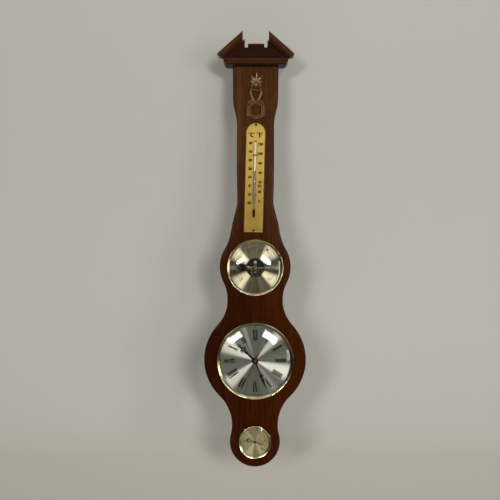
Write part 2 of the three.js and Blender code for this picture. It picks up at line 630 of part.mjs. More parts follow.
function addBarometer(parent) {
  const shell = cut(cup(BAROMETER), disc(3, -18, -15, 14).translate(-21, 0, -17));
  const group = addInstrument(parent, "barometer", BAROMETER, shell, BRASS, GOLD_DIAL);
  const pillars = [24, -24].map((x) => disc(2, -15.5, -6.1, 12).translate(x, 0, 6));
  const base = cut(join(disc(32, -16.3, -14.9, 32), ...pillars), disc(1.8, -17, -14, 12).translate(-21, 0, -17));
  add(group, "barometer_base_plate", base, BRASS);
  add(group, "aneroid_capsule", aneroidCapsule(), STEEL);
  add(group, "capsule_spring", capsuleSpring(), STEEL);
  const bridge = polygon([[-27, -3], [27, -3], [27, 14], [-27, 14]]);
  bridge.holes.push(circleHole(0, 0, 1.1));
  add(group, "movement_bridge", plate(bridge, -5.9, -5.1), BLACK);
  const cock = new THREE.Shape();
  cock.absarc(0, 9.8, 3.4, 0, Math.PI, false);
  cock.absarc(0, 0, 3.4, Math.PI, 2 * Math.PI, false);
  cock.holes.push(circleHole(0, 0, 1.1));
  const foot = disc(2.6, -4.9, -3, 14).translate(0, 0, 9.8);
  const head = turned([[0, -2.6], [3.2, -2.6], [2.6, -1.2], [0, -1]], 14).translate(0, 0, 9.8);
  add(group, "pointer_cock", join(plate(cock, -3.2, -2.2), foot, head), BRASS);
  const pivot = turned([[0, -5], [1, -5], [1, -3.7], [2.4, -3.7], [2, -2.5], [0, -2.3]], 14);
  add(group, "sector_screw", pivot.translate(SECTOR_X, 0, 0), BRASS);
  add(group, "sector_lever", sectorLever().translate(SECTOR_X, 0, 0), BRASS);
  const pinion = gear(SECTOR.pinion, SECTOR.size, PINION_ADDENDUM, Math.PI, SECTOR.back - 0.2, SECTOR.front + 0.2);
  add(group, "pointer_arbor", join(pinion, disc(0.75, -6.2, 5.2, 12)), STEEL);
  const pointerGroup = turnedGroup(group, PRESSURE_ANGLE_ON_DIAL);
  add(pointerGroup, "barometer_hand", handBlade(POINTER_BLADE, 3, 0.95, 4.2, 4.7), BLACK);
  const setGroup = turnedGroup(group, SET_HAND_ANGLE);
  const spindle = join(plate(symmetric(SET_BLADE), 5.5, 5.9), disc(2.6, 5.4, 6.1, 14), disc(1.2, 5.6, 14, 12));
  add(setGroup, "set_hand", spindle, BRASS);
  const knob = turned([[1.35, 11.8], [4, 11.8], [4.2, 12.4], [4, 14.2], [0, 15], [0, 14.3], [1.35, 14.3]], 16);
  add(setGroup, "set_knob", knob, BRASS);
  const screw = turned([[0, -17.3], [2.4, -17.3], [2.4, -16.7], [1.4, -16.6], [1.4, -13], [0, -12.6]], 12);
  add(group, "adjusting_screw", screw.translate(-21, 0, -17), BRASS);
}

// Hygrometer: a coiled strip turns the arbor and its hand.
const HUMIDITY_BLADE = [
  [2.6, -14.5], [3.6, -12], [2.4, -9], [0.9, -8], [0.7, 0], [0.8, 10], [0, 19],
];

function humidityCoil() {
  const turns = 3.5;
  const steps = 42;
  const inner = 2.6;
  const pitch = 2.4;
  const edge = (offset) => Array.from({ length: steps + 1 }, (_, i) => {
    const angle = (turns * 2 * Math.PI * i) / steps;
    const r = inner + offset + (pitch * angle) / (2 * Math.PI);
    return [r * Math.cos(angle), r * Math.sin(angle)];
  });
  return plate(polygon([...edge(0.25), ...edge(-0.25).reverse()]), -8, -4);
}

function addHygrometer(parent) {
  const group = addInstrument(parent, "hygrometer", HYGROMETER, cup(HYGROMETER), BRASS, GOLD_DIAL);
  add(group, "humidity_coil", humidityCoil(), COPPER);
  const handGroup = turnedGroup(group, HUMIDITY_ANGLE);
  const tail = cut(plate(symmetric(HUMIDITY_BLADE), 2.9, 3.3), disc(1.9, 2, 4, 12).translate(0, 0, -13.6));
  const hand = join(tail, disc(2.2, 2.8, 3.6, 14), disc(0.7, -9.5, 4.4, 10));
  add(handGroup, "hygrometer_hand", hand, BLACK);
}

// Assembly, shifted so that the hanging point in the wall plane is the origin.
const station = new THREE.Group();
const works = new THREE.Group();
works.position.z = -HANG_HEIGHT;
station.add(works);

add(works, "back_board", backBoard(), MAHOGANY);
add(works, "cornice_moulding", cornice(), MAHOGANY);
add(works, "tympanum_panel", tympanum(), MAHOGANY_DARK);
add(works, "rake_moulding_right", rake(RAKE_END_LEAN.right), MAHOGANY);
add(works, "rake_moulding_left", mirrored(rake(RAKE_END_LEAN.left)), MAHOGANY);
add(works, "carved_ornament", ornament().translate(0, -BOARD_DEPTH, ORNAMENT_Z), GILT_WOOD);
add(works, "hanger_plate", hangerPlate().translate(0, 0, HANG_HEIGHT), STEEL);
add(works, "hanger_screw_top", woodScrew().translate(0, 0, HANG_HEIGHT + HANGER_SCREWS[0]), STEEL);
add(works, "hanger_screw_bottom", woodScrew().translate(0, 0, HANG_HEIGHT + HANGER_SCREWS[1]), STEEL);
addThermometer(works);
addBarometer(works);
addClock(works);
addHygrometer(works);

export default station;
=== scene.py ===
import json
import math

import bmesh
import bpy
from mathutils import Matrix, Vector

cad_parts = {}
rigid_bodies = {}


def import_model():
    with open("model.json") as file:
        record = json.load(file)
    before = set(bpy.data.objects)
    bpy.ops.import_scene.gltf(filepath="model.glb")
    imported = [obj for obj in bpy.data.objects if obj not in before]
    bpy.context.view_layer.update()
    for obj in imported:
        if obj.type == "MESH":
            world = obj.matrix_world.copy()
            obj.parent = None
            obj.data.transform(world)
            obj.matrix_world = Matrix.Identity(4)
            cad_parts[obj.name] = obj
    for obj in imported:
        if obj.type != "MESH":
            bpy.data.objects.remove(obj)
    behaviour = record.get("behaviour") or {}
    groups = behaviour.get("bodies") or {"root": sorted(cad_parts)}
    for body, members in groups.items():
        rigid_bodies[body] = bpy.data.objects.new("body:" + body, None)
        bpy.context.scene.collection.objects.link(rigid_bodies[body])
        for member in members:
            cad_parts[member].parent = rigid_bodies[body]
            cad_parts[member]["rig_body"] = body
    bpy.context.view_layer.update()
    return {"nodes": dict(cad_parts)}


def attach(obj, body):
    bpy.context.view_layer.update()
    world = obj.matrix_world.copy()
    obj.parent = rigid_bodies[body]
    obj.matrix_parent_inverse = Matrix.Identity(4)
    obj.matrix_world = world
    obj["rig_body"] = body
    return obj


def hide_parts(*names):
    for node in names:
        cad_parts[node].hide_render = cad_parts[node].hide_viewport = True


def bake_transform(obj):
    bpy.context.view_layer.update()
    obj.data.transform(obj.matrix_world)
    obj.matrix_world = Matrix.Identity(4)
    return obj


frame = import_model()

# Millimetres: x to the right, u out of the board's front face, z up from the board's foot.
MM = 0.001
HANG_HEIGHT = 700
BOARD_DEPTH = 20
OUT = Vector((0, -1, 0))
DEGREE = math.pi / 180

CLOCK_Z = 193
BAROMETER_Z = 362
HYGROMETER_Z = 45.3
THERMOMETER = (-1.4, 525.4)
THERMOMETER_LEAN = 1.35
ORNAMENT_Z = 674.6


# Placing pieces
def place(x=0.0, z=0.0, angle=0.0):
    """From a piece's own millimetres to the row frame, turned clockwise by degrees."""
    shift = Matrix.Translation((x, -BOARD_DEPTH, z - HANG_HEIGHT))
    return Matrix.Scale(MM, 4) @ shift @ Matrix.Rotation(angle * DEGREE, 4, "Y")


WALL_FRAME = Matrix.Scale(MM, 4) @ Matrix.Translation((0, 0, -HANG_HEIGHT))


def mesh_data(name, mesh):
    data = bpy.data.meshes.new(name)
    mesh.to_mesh(data)
    mesh.free()
    return data


def shown(name, data):
    """A new object in the scene."""
    item = bpy.data.objects.new(name, data)
    bpy.context.scene.collection.objects.link(item)
    return item


def add(name, mesh, where, paint, replaces=None, body="case", smooth=32):
    """Makes a bmesh in millimetres into a piece that rides on a body."""
    bmesh.ops.remove_doubles(mesh, verts=mesh.verts, dist=1e-4)
    data = mesh_data(name, mesh)
    data.transform(where)
    data.materials.append(paint)
    piece = shown(name, data)
    if smooth:
        data.shade_smooth()
        data.set_sharp_from_angle(angle=smooth * DEGREE)
        piece.modifiers.new("even_faces", "WEIGHTED_NORMAL").keep_sharp = True
    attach(piece, body)
    if replaces:
        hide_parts(replaces)
    return piece


def dress(paint, *nodes):
    """Gives CAD nodes that stay a finished material."""
    for node in nodes:
        slot = frame["nodes"][node].material_slots[0]
        slot.link = "OBJECT"
        slot.material = paint


# Outlines
def arc(x, z, r, start, end, step=3.0):
    """Points along a circle, in degrees counterclockwise from +x."""
    count = max(2, math.ceil(abs(end - start) / step))
    angles = [(start + (end - start) * i / count) * DEGREE for i in range(count + 1)]
    return [(x + r * math.cos(a), z + r * math.sin(a)) for a in angles]


def round_hole(x, z, r, step=20):
    """A circle run clockwise, with points that many degrees apart."""
    return arc(x, z, r, 0, step - 360, step)


def on_dial(r, angle):
    """A point at a radius and an angle clockwise from the top."""
    return r * math.sin(angle * DEGREE), r * math.cos(angle * DEGREE)


def bezier(a, b, c, d, count=12):
    points = []
    for i in range(count + 1):
        t = i / count
        weights = ((1 - t) ** 3, 3 * t * (1 - t) ** 2, 3 * t * t * (1 - t), t ** 3)
        points.append(tuple(sum(w * p[k] for w, p in zip(weights, (a, b, c, d))) for k in range(len(a))))
    return points


def rounded(points, radius, steps=4, closed=True):
    """The outline with its corners eased over the given length."""
    out = []
    for i, corner in enumerate(points):
        if not closed and i in (0, len(points) - 1):
            out.append(tuple(corner))
            continue
        here = Vector(corner)
        before = Vector(points[i - 1]) - here
        after = Vector(points[(i + 1) % len(points)]) - here
        start = here + before.normalized() * min(radius, before.length * 0.45)
        end = here + after.normalized() * min(radius, after.length * 0.45)
        for k in range(steps + 1):
            t = k / steps
            out.append(tuple(start * (1 - t) ** 2 + here * 2 * t * (1 - t) + end * t * t))
    return out


def flipped(points):
    return [(-x, z) for x, z in reversed(points)]


def mirrored(half, ease=0.0):
    """A closed outline from its right half, listed upwards, with its corners eased."""
    if ease:
        half = rounded(half, ease, 2, closed=False)
    return list(half) + [(x, z) for x, z in flipped(half) if abs(x) > 1e-6]


# Meshes
def solid(mesh):
    """The mesh with its faces turned outwards."""
    bmesh.ops.recalc_face_normals(mesh, faces=mesh.faces)
    return mesh


def skin(mesh, rings):
    """Faces between closed rings of as many points."""
    for a, b in zip(rings, rings[1:]):
        for i in range(len(a)):
            mesh.faces.new((a[i - 1], a[i], b[i], b[i - 1]))


def capped(mesh, rings):
    """Faces between rings and over both ends."""
    skin(mesh, rings)
    mesh.faces.new(rings[0])
    mesh.faces.new(rings[-1])
    return mesh


def fill(mesh, rings):
    """Flat faces inside the first ring and round the others."""
    edges = [mesh.edges.get((ring[i - 1], ring[i])) for ring in rings for i in range(len(ring))]
    bmesh.ops.triangle_fill(mesh, use_beauty=True, edges=edges)


def circle(mesh, r, u, angles):
    """Points round the way out of the wall."""
    return [mesh.verts.new((r * math.sin(a), -u, r * math.cos(a))) for a in angles]


def lathe(profile, segments=160):
    """Turned about the way out of the wall, from [radius, u] points that close or start on the axis."""
    mesh = bmesh.new()
    angles = [2 * math.pi * i / segments for i in range(segments)]
    rings = []
    for r, u in profile:
        if r < 1e-6:
            rings.append([mesh.verts.new((0, -u, 0))] * segments)
        else:
            rings.append(circle(mesh, r, u, angles))
    closes = profile[0][0] > 0 and profile[-1][0] > 0
    pairs = list(zip(rings, rings[1:])) + ([(rings[-1], rings[0])] if closes else [])
    for a, b in pairs:
        for i in range(segments):
            j = (i + 1) % segments
            corners = list(dict.fromkeys((a[i], a[j], b[j], b[i])))
            if len(corners) > 2:
                mesh.faces.new(corners)
    return solid(mesh)


def inward(loop, hole):
    """For each point of a loop, the step into the material that moves both its edges by one."""
    area = sum(a[0] * b[1] - b[0] * a[1] for a, b in zip(loop, loop[1:] + loop[:1]))
    side = 1 if (area > 0) != hole else -1
    steps = []
    for i, point in enumerate(loop):
        here = Vector(point)
        before = (here - Vector(loop[i - 1])).normalized()
        after = (Vector(loop[(i + 1) % len(loop)]) - here).normalized()
        normals = [Vector((-d.y, d.x)) * side for d in (before, after)]
        middle = (normals[0] + normals[1]).normalized()
        steps.append(middle / max(middle.dot(normals[0]), 0.4))
    return steps


def slab(loops, section, hole_section=None):
    """A plate from closed (x, z) loops, the outer one first, with (inset, u) steps from back to front."""
    mesh = bmesh.new()
    ends = ([], [])
    for index, loop in enumerate(loops):
        loop = [tuple(p) for p in loop]
        steps = inward(loop, index > 0)
        cuts = hole_section if index and hole_section else section
        rings = [[mesh.verts.new((x + s.x * inset, -u, z + s.y * inset)) for (x, z), s in zip(loop, steps)]
                 for inset, u in cuts]
        skin(mesh, rings)
        ends[0].append(rings[0])
        ends[1].append(rings[-1])
    for rings in ends:
        fill(mesh, rings)
    return solid(mesh)


def sweep(path, radii, sides=12, depth=1.0):
    """A round bar along points of (x, u, z), with a radius at each; depth scales it towards the viewer."""
    mesh = bmesh.new()
    points = [Vector((x, -u, z)) for x, u, z in path]
    if not hasattr(radii, "__len__"):
        radii = [radii] * len(points)
    rings = []
    for i, point in enumerate(points):
        along = (points[min(i + 1, len(points) - 1)] - points[max(i - 1, 0)]).normalized()
        across = along.cross(OUT)
        across = Vector((1, 0, 0)) if across.length < 1e-3 else across.normalized()
        up = across.cross(along)
        rings.append([mesh.verts.new(point + radii[i] * (
            across * math.cos(a) + up * depth * math.sin(a)))
            for a in (2 * math.pi * k / sides for k in range(sides))])
    return solid(capped(mesh, rings))


def box(*limits):
    """A block between pairs of limits across, out of the board and up."""
    mesh = bmesh.new()
    bmesh.ops.create_cube(mesh, size=1)
    x, u, z = [(a + b) / 2 for a, b in limits]
    sizes = [b - a for a, b in limits]
    mesh.transform(Matrix.Translation((x, -u, z)) @ Matrix.Diagonal((*sizes, 1)))
    return mesh


def joined(whole, *parts):
    """All the meshes in the first one."""
    for part in parts:
        data = mesh_data("part", part)
        whole.from_mesh(data)
        bpy.data.meshes.remove(data)
    return whole


def moved(mesh, x=0.0, z=0.0, angle=0.0):
    """The mesh turned clockwise by degrees, then shifted."""
    mesh.transform(Matrix.Translation((x, 0, z)) @ Matrix.Rotation(angle * DEGREE, 4, "Y"))
    return mesh


# Materials
BUMP_DEPTH = 0.0002
WHITE = (1, 1, 1, 1)
PALE_SKY = (0.97, 0.98, 1.0, 1)


class Nodes:
    """Short ways to add nodes to a tree."""

    def __init__(self, tree):
        self.tree = tree

    def fill(self, node, values):
        for key, value in values.items():
            if isinstance(value, bpy.types.NodeSocket):
                self.tree.links.new(value, node.inputs[key])
            else:
                node.inputs[key].default_value = value

    def node(self, kind, values=None, **settings):
        node = self.tree.nodes.new("ShaderNode" + kind)
        for key, value in settings.items():
            setattr(node, key, value)
        self.fill(node, values or {})
        return node

    def steps(self, value, low, high, out_low=0.0, out_high=1.0):
        return self.node("MapRange", {"Value": value, "From Min": low, "From Max": high,
                                      "To Min": out_low, "To Max": out_high},
                         interpolation_type="SMOOTHSTEP").outputs[0]

    def math(self, operation, a, b=0.0):
        return self.node("Math", {0: a, 1: b}, operation=operation).outputs[0]

    def add(self, a, b):
        return self.math("ADD", a, b)

    def times(self, a, b):
        return self.math("MULTIPLY", a, b)

    def length(self, vector):
        return self.node("VectorMath", {0: vector}, operation="LENGTH").outputs["Value"]


class Paint(Nodes):
    """A material with one shader."""

    def __init__(self, name, colour, roughness, metallic=0.0, gloss=0.5):
        self.material = bpy.data.materials.new(name)
        self.material.use_nodes = True
        super().__init__(self.material.node_tree)
        self.shader = self.tree.nodes["Principled BSDF"]
        self.fill(self.shader, {"Base Color": (*colour, 1), "Roughness": roughness, "Metallic": metallic,
                                "Specular IOR Level": gloss})

    def place(self, scale, turn=(0, 0, 0), shift=(0, 0, 0)):
        """Object coordinates in millimetres, turned, then scaled."""
        here = self.node("TexCoord").outputs["Object"]
        turned = self.node("Mapping", {"Vector": here, "Rotation": turn, "Location": shift,
                                       "Scale": (1 / MM,) * 3}).outputs[0]
        return self.node("Mapping", {"Vector": turned, "Scale": scale}).outputs[0]

    def axes(self, centre_z=HANG_HEIGHT):
        """Millimetres to the right, towards the wall and up from a height on the board."""
        here = self.place((1, 1, 1), shift=(0, 0, HANG_HEIGHT - centre_z))
        return self.node("SeparateXYZ", {0: here}).outputs

    def flat(self, axes):
        """The part of a place that lies along the wall."""
        return self.node("CombineXYZ", {0: axes[0], 2: axes[2]}).outputs[0]

    def noise(self, vector, scale=1.0, detail=3.0, roughness=0.5, distortion=0.0):
        return self.node("TexNoise", {"Vector": vector, "Scale": scale, "Detail": detail,
                                      "Roughness": roughness, "Distortion": distortion}).outputs["Fac"]

    def mix(self, factor, a, b):
        colours = {k: v if isinstance(v, bpy.types.NodeSocket) else (*v, 1) for k, v in ((6, a), (7, b))}
        return self.node("Mix", {0: factor, **colours}, data_type="RGBA").outputs[2]

    def cloud(self, scale, colour, shade, low=0.35, high=0.65):
        """Soft mottling between two colours."""
        clouds = self.noise(self.place((scale,) * 3), detail=4)
        return self.mix(self.steps(clouds, low, high), colour, shade)

    def colour(self, value):
        self.fill(self.shader, {"Base Color": value})
        return self.material

    def rough(self, value):
        self.fill(self.shader, {"Roughness": value})

    def bump(self, height, strength):
        bump = self.node("Bump", {"Height": height, "Strength": strength, "Distance": BUMP_DEPTH})
        self.fill(self.shader, {"Normal": bump.outputs[0]})

    def pitted(self, strength):
        self.bump(self.noise(self.place((6,) * 3), detail=2), strength)

    def surface(self, factor, first, second):
        """A mix of two other shaders on the surface."""
        mixed = self.node("MixShader", {0: factor, 1: first.outputs[0], 2: second.outputs[0]})
        end = next(n for n in self.tree.nodes if n.type == "OUTPUT_MATERIAL")
        self.tree.links.new(mixed.outputs[0], end.inputs[0])
        return self.material


def dimmed(colour, factor):
    return tuple(c * factor for c in colour)


def wood(name, turn, low, high=None, warm=0.0, polish=0.2, gloss=0.03):
    """Polished mahogany, its grain along z after a turn about y, in (dark, light) tones of foot and head. The
    head's lighter, greyer tones are painted sheen, and the lower part's brightening towards the right is
    painted light.
    """
    paint = Paint(name, low[1], polish, gloss=gloss)
    turn = (0, turn, 0)
    streaks = paint.noise(paint.place((1 / 15, 1 / 15, 1 / 420), turn), detail=4, distortion=0.5)
    grain = paint.noise(paint.place((1 / 2.6, 1 / 2.6, 1 / 90), turn), detail=5, roughness=0.65)
    ribbon = paint.noise(paint.place((1 / 3.5, 1 / 3.5, 1 / 22), turn, (31, 7, 90)), detail=3)
    pores = paint.noise(paint.place((1 / 0.8, 1 / 0.8, 1 / 12), turn), detail=2)
    tone = paint.add(paint.times(streaks, 0.28), paint.times(grain, 0.42))
    tone = paint.add(tone, paint.times(ribbon, 0.3))
    dark, light = low
    axes = paint.axes()
    # Painted sheen: the tones lighten and grey towards the head; painted light: the lower board brightens
    # towards the right.
    if high:
        rise = paint.steps(axes[2], -430, -90)
        lean = paint.times(axes[0], paint.steps(rise, 0, 1, 0.001, 0.0))
        tone = paint.add(tone, lean)
        dark, light = (paint.mix(rise, a, b) for a, b in zip(low, high))
    colour = paint.mix(paint.steps(tone, 0.36, 0.64), dark, light)
    if warm:
        band = paint.math("ABSOLUTE", paint.add(axes[0], 30))
        near = paint.times(paint.steps(band, 2, 6, warm, 0), paint.steps(axes[2], -190, -110))
        colour = paint.mix(near, colour, (0.120, 0.047, 0.010))
    pore = paint.steps(pores, 0.55, 0.68)
    colour = paint.mix(paint.times(pore, 0.3), colour, dimmed(low[0], 0.5))
    paint.rough(paint.steps(paint.add(grain, pores), 0.7, 1.3, polish, polish + 0.05))
    paint.bump(paint.math("SUBTRACT", grain, pore), 0.05)
    return paint.colour(colour)


def metal(name, colour, shade, roughness, metallic=1.0, gloss=0.5, scale=0.12):
    """Metal with soft cloudy tarnish towards a shade, and fine handling marks in its gloss."""
    paint = Paint(name, colour, roughness, metallic, gloss)
    marks = paint.noise(paint.place((1.3,) * 3), detail=3)
    paint.rough(paint.steps(marks, 0.3, 0.7, roughness * 0.8, roughness * 1.25))
    return paint.colour(paint.cloud(scale, colour, shade, 0.42, 0.72))


def spun(name, centre_z, colour, shade, roughness, painted_rays):
    """A dial turned on a spindle, its gloss drawn out round the centre, with painted highlights in rays of
    (angle, spread, softness, gain) laid into its colour over fine radial streaks and rings.
    """
    paint = Paint(name, colour, roughness, 0.3, 0.05)
    axes = paint.axes(centre_z)
    flat = paint.flat(axes)
    turn = paint.math("ARCTAN2", axes[0], axes[2])
    reach = paint.node("CombineXYZ", {0: paint.length(flat)}).outputs[0]
    rings = paint.noise(reach, 2.2, detail=4, roughness=0.7)
    heading = paint.node("VectorMath", {0: flat}, operation="NORMALIZE").outputs[0]
    light = paint.steps(paint.noise(heading, 3.1, detail=5, roughness=0.7), 0.35, 0.75, 0.0, 0.1)
    # Painted highlights: each ray lifts the colour from the shade towards the bright colour.
    for angle, spread, softness, gain in painted_rays:
        off = paint.math("ARCCOSINE", paint.math("COSINE", paint.math("SUBTRACT", turn, angle * DEGREE)))
        painted_ray_highlight = paint.steps(off, max(spread - softness, 0) * DEGREE, (spread + softness) * DEGREE, gain, 0.0)
        light = paint.math("MAXIMUM", light, painted_ray_highlight)
    light = paint.add(light, paint.steps(rings, 0.35, 0.65, -0.03, 0.03))
    tangent = paint.node("Tangent", direction_type="RADIAL", axis="Y")
    paint.fill(paint.shader, {"Anisotropic": 0.8, "Tangent": tangent.outputs[0]})
    return paint.colour(paint.mix(light, shade, colour))


def bezel_brass(name, centre_z, reach, roughness, upper):
    """Lacquered brass with worn mottling, and painted shade that darkens the upper half of a bezel."""
    paint = Paint(name, (0.5, 0.44, 0.27), roughness, 1.0)
    worn = paint.cloud(0.12, (0.52, 0.455, 0.28), (0.32, 0.27, 0.14), 0.42, 0.72)
    # Painted shade: the upper half of the bezel turns to a darker colour.
    painted_upper_shade = paint.cloud(0.12, upper, dimmed(upper, 0.6))
    upper_shade_mask = paint.steps(paint.axes(centre_z)[2], -reach * 0.75, -reach * 0.1)
    return paint.colour(paint.mix(upper_shade_mask, worn, painted_upper_shade))


def capsule_paint(centre_z):
    """Old bronzed sheet with random mottling, painted light on the crests of its pressed rings and painted
    shade between them.
    """
    paint = Paint("capsule_metal", (0.05, 0.04, 0.02), 0.45, gloss=0.04)
    axes = paint.axes(centre_z)
    reach = paint.length(paint.flat(axes))
    painted_crest_light = paint.math("SINE", paint.times(reach, 1.1))
    cloud = paint.noise(paint.place((0.22,) * 3), detail=3)
    mottling_and_painted_light = paint.add(paint.steps(painted_crest_light, -0.3, 0.9, 0, 0.8), paint.steps(cloud, 0.38, 0.62, -0.55, 0.35))
    return paint.colour(paint.mix(mottling_and_painted_light, (0.006, 0.005, 0.004), (0.125, 0.098, 0.056)))


def scale_plate_paint():
    """Lacquered yellow brass with random clouding, and painted shade that darkens it towards the foot."""
    paint = Paint("scale_brass", (0.35, 0.24, 0.054), 0.36, 0.2, 0.05)
    cloud = paint.noise(paint.place((0.07, 0.07, 0.03)), detail=4)
    # Painted shade: the plate darkens towards the foot, mixed with random clouding.
    mottling_and_painted_light = paint.add(paint.steps(paint.axes()[2], -290, -70), paint.steps(cloud, 0.3, 0.7, -0.1, 0.1))
    brushed = paint.noise(paint.place((0.6, 0.6, 14)), detail=3)
    paint.rough(paint.steps(brushed, 0.3, 0.7, 0.3, 0.42))
    return paint.colour(paint.mix(mottling_and_painted_light, (0.160, 0.106, 0.016), (0.316, 0.216, 0.042)))


def clear(name, bend):
    """Thin clear glass that lets lamps through and keeps its own reflections."""
    paint = Paint(name, (1, 1, 1), 0.02)
    paint.tree.nodes.remove(paint.shader)
    inside = paint.node("NewGeometry").outputs["Backfacing"]
    edge = paint.node("Fresnel", {"IOR": bend}).outputs[0]
    outside = paint.times(edge, paint.math("SUBTRACT", 1.0, inside))
    return paint.surface(outside, paint.node("BsdfTransparent", {"Color": WHITE}),
                         paint.node("BsdfGlossy", {"Color": WHITE, "Roughness": 0.008}))


def plain(name, colour, roughness, gloss=0.5, change=0.25, metallic=0.0, bump=0.0):
    """Paint, plastic or print with a slight unevenness."""
    paint = Paint(name, colour, roughness, metallic, gloss)
    if bump:
        paint.pitted(bump)
    return paint.colour(paint.cloud(0.4, colour, dimmed(colour, 1 - change)))


def carving_paint():
    """Bronzed gilding, duller on the leaves, with painted shade dark in the hollows and painted highlights
    bright at the leaf tips.
    """
    paint = Paint("gilt_carving", (0.17, 0.09, 0.03), 0.31, 0.4, 0.1)
    axes = paint.axes(ORNAMENT_Z)
    height = paint.times(axes[1], -1.0)
    gilt = paint.cloud(0.35, (0.150, 0.083, 0.031), (0.078, 0.038, 0.012))
    # Painted shade: surfaces low towards the board go dark.
    clear_of_painted_shade = paint.steps(height, BOARD_DEPTH + 1.4, BOARD_DEPTH + 2.6)
    foliage = paint.steps(axes[2], 12, 17)
    gilt_with_painted_shade = paint.mix(clear_of_painted_shade, (0.048, 0.021, 0.007), paint.mix(foliage, gilt, (0.080, 0.044, 0.014)))
    # Painted highlights: the highest leaf tips go bright.
    painted_tip_highlight = paint.steps(height, BOARD_DEPTH + 3.9, BOARD_DEPTH + 5.2)
    paint.pitted(0.15)
    return paint.colour(paint.mix(painted_tip_highlight, gilt_with_painted_shade, (0.330, 0.225, 0.130)))


LEVEL = 90 * DEGREE
RAKE_ANGLE = 41.6 * DEGREE
# The board's second pair of tones, for its head, is painted sheen.
MAHOGANY = wood("mahogany", 0, ((0.018, 0.0038, 0.0009), (0.040, 0.0096, 0.0018)),
                ((0.034, 0.0128, 0.0052), (0.068, 0.0255, 0.0103)), warm=0.32, polish=0.08, gloss=0.02)
MOULDING = wood("mahogany_moulding", LEVEL, ((0.026, 0.0095, 0.0034), (0.055, 0.0200, 0.0074)))
RAKE_TONES = ((0.033, 0.0115, 0.0050), (0.068, 0.0245, 0.0108))
RAKE_WOOD = {"right": wood("mahogany_rake_right", LEVEL - RAKE_ANGLE, RAKE_TONES),
             "left": wood("mahogany_rake_left", LEVEL + RAKE_ANGLE, RAKE_TONES)}
MAHOGANY_DARK = wood("mahogany_dark", LEVEL, ((0.011, 0.0034, 0.0018), (0.027, 0.0082, 0.0042)))
GILT = carving_paint()
BRASS = metal("brass", (0.44, 0.375, 0.215), (0.27, 0.225, 0.115), 0.18)
# The last colour of each bezel is its painted shade over its upper half.
CLOCK_BRASS = bezel_brass("clock_bezel_brass", CLOCK_Z, 70, 0.18, (0.190, 0.160, 0.082))
BAROMETER_BRASS = bezel_brass("barometer_bezel_brass", BAROMETER_Z, 51, 0.23, (0.300, 0.255, 0.125))
CLIP_BRASS = metal("brass_clips", (0.24, 0.175, 0.05), (0.15, 0.105, 0.03), 0.45, 0.4, 0.05)
SCREW_BRASS = metal("screw_head_brass", (0.30, 0.255, 0.12), (0.16, 0.13, 0.06), 0.38, 0.4, 0.05)
BRASS_DULL = metal("brass_works", (0.42, 0.33, 0.15), (0.20, 0.15, 0.06), 0.3)
BRONZED = metal("bronzed_works", (0.085, 0.068, 0.036), (0.007, 0.006, 0.005), 0.4, 0.1, 0.05, scale=0.4)
STEEL = metal("steel", (0.46, 0.46, 0.46), (0.30, 0.29, 0.28), 0.3)
CAPSULE = capsule_paint(BAROMETER_Z - 8)
SET_BRASS = metal("set_hand_brass", (0.115, 0.095, 0.055), (0.06, 0.05, 0.03), 0.45, 0.3, 0.1)
COPPER = metal("copper", (0.62, 0.26, 0.12), (0.35, 0.14, 0.07), 0.32)
BLACKED = plain("blackened_metal", (0.006, 0.006, 0.007), 0.5, 0.03)
BRIDGE_BLACK = plain("blued_bridge", (0.0055, 0.0075, 0.0115), 0.4, 0.04, metallic=0.2)
PLASTIC = plain("black_plastic", (0.018, 0.018, 0.019), 0.42, bump=0.25)
PRINT = plain("dial_print", (0.008, 0.009, 0.008), 0.55, 0.03)
FINE_PRINT = plain("fine_dial_print", (0.052, 0.050, 0.032), 0.55, 0.03)
SMOKED = plain("smoked_metal", (0.026, 0.026, 0.018), 0.5, 0.03)
ENGRAVED = plain("engraved_fill", (0.026, 0.011, 0.004), 0.55, 0.03)
RED = plain("red_enamel", (0.115, 0.034, 0.026), 0.5, 0.05)
BUTTON_BROWN = plain("second_hand_button", (0.085, 0.050, 0.040), 0.4, 0.1)
LIQUID = plain("thermometer_liquid", (0.185, 0.185, 0.175), 0.3, 0.1)
LIQUID_DARK = plain("bulb_liquid", (0.004, 0.004, 0.004), 0.4, 0.02)
ENAMEL = plain("tube_enamel", (0.60, 0.575, 0.38), 0.4, 0.1, change=0.05)
GLASS = clear("clear_glass", 1.25)
TUBE_GLASS = clear("tube_glass", 1.14)
SCALE_BRASS = scale_plate_paint()
# Pale paint for the painted highlights along the scale plate's bevel.
EDGE_HIGHLIGHT_PAINT = plain("painted_edge_highlight", (0.46, 0.36, 0.16), 0.35, 0.1)
# The rays on each dial are painted highlights: the first colour is their bright tone, the second the dial
# between them.
SILVER = spun("silver_dial", CLOCK_Z, (0.59, 0.59, 0.515), (0.088, 0.092, 0.078), 0.3, (
    (297.5, 13, 7, 0.72), (110, 13, 6, 0.76), (42, 8, 5, 0.6), (229, 11, 6, 0.74), (341, 4, 3, 0.25),
    (147, 8, 5, 0.25)))
GOLD = spun("gold_dial", BAROMETER_Z, (0.61, 0.565, 0.385), (0.032, 0.028, 0.015), 0.3, (
    (305, 15, 8, 0.78), (46, 18, 8, 0.92), (124, 14, 7, 0.62), (229, 17, 8, 0.8), (90, 5, 4, 0.3),
    (270, 5, 5, 0.3)))
GOLD_SMALL = spun("gold_dial_small", HYGROMETER_Z, (0.57, 0.55, 0.335), (0.205, 0.187, 0.096), 0.32, (
    (322, 8, 5, 0.28), (28, 10, 6, 0.3), (208, 17, 7, 0.58), (147, 11, 6, 0.36)))


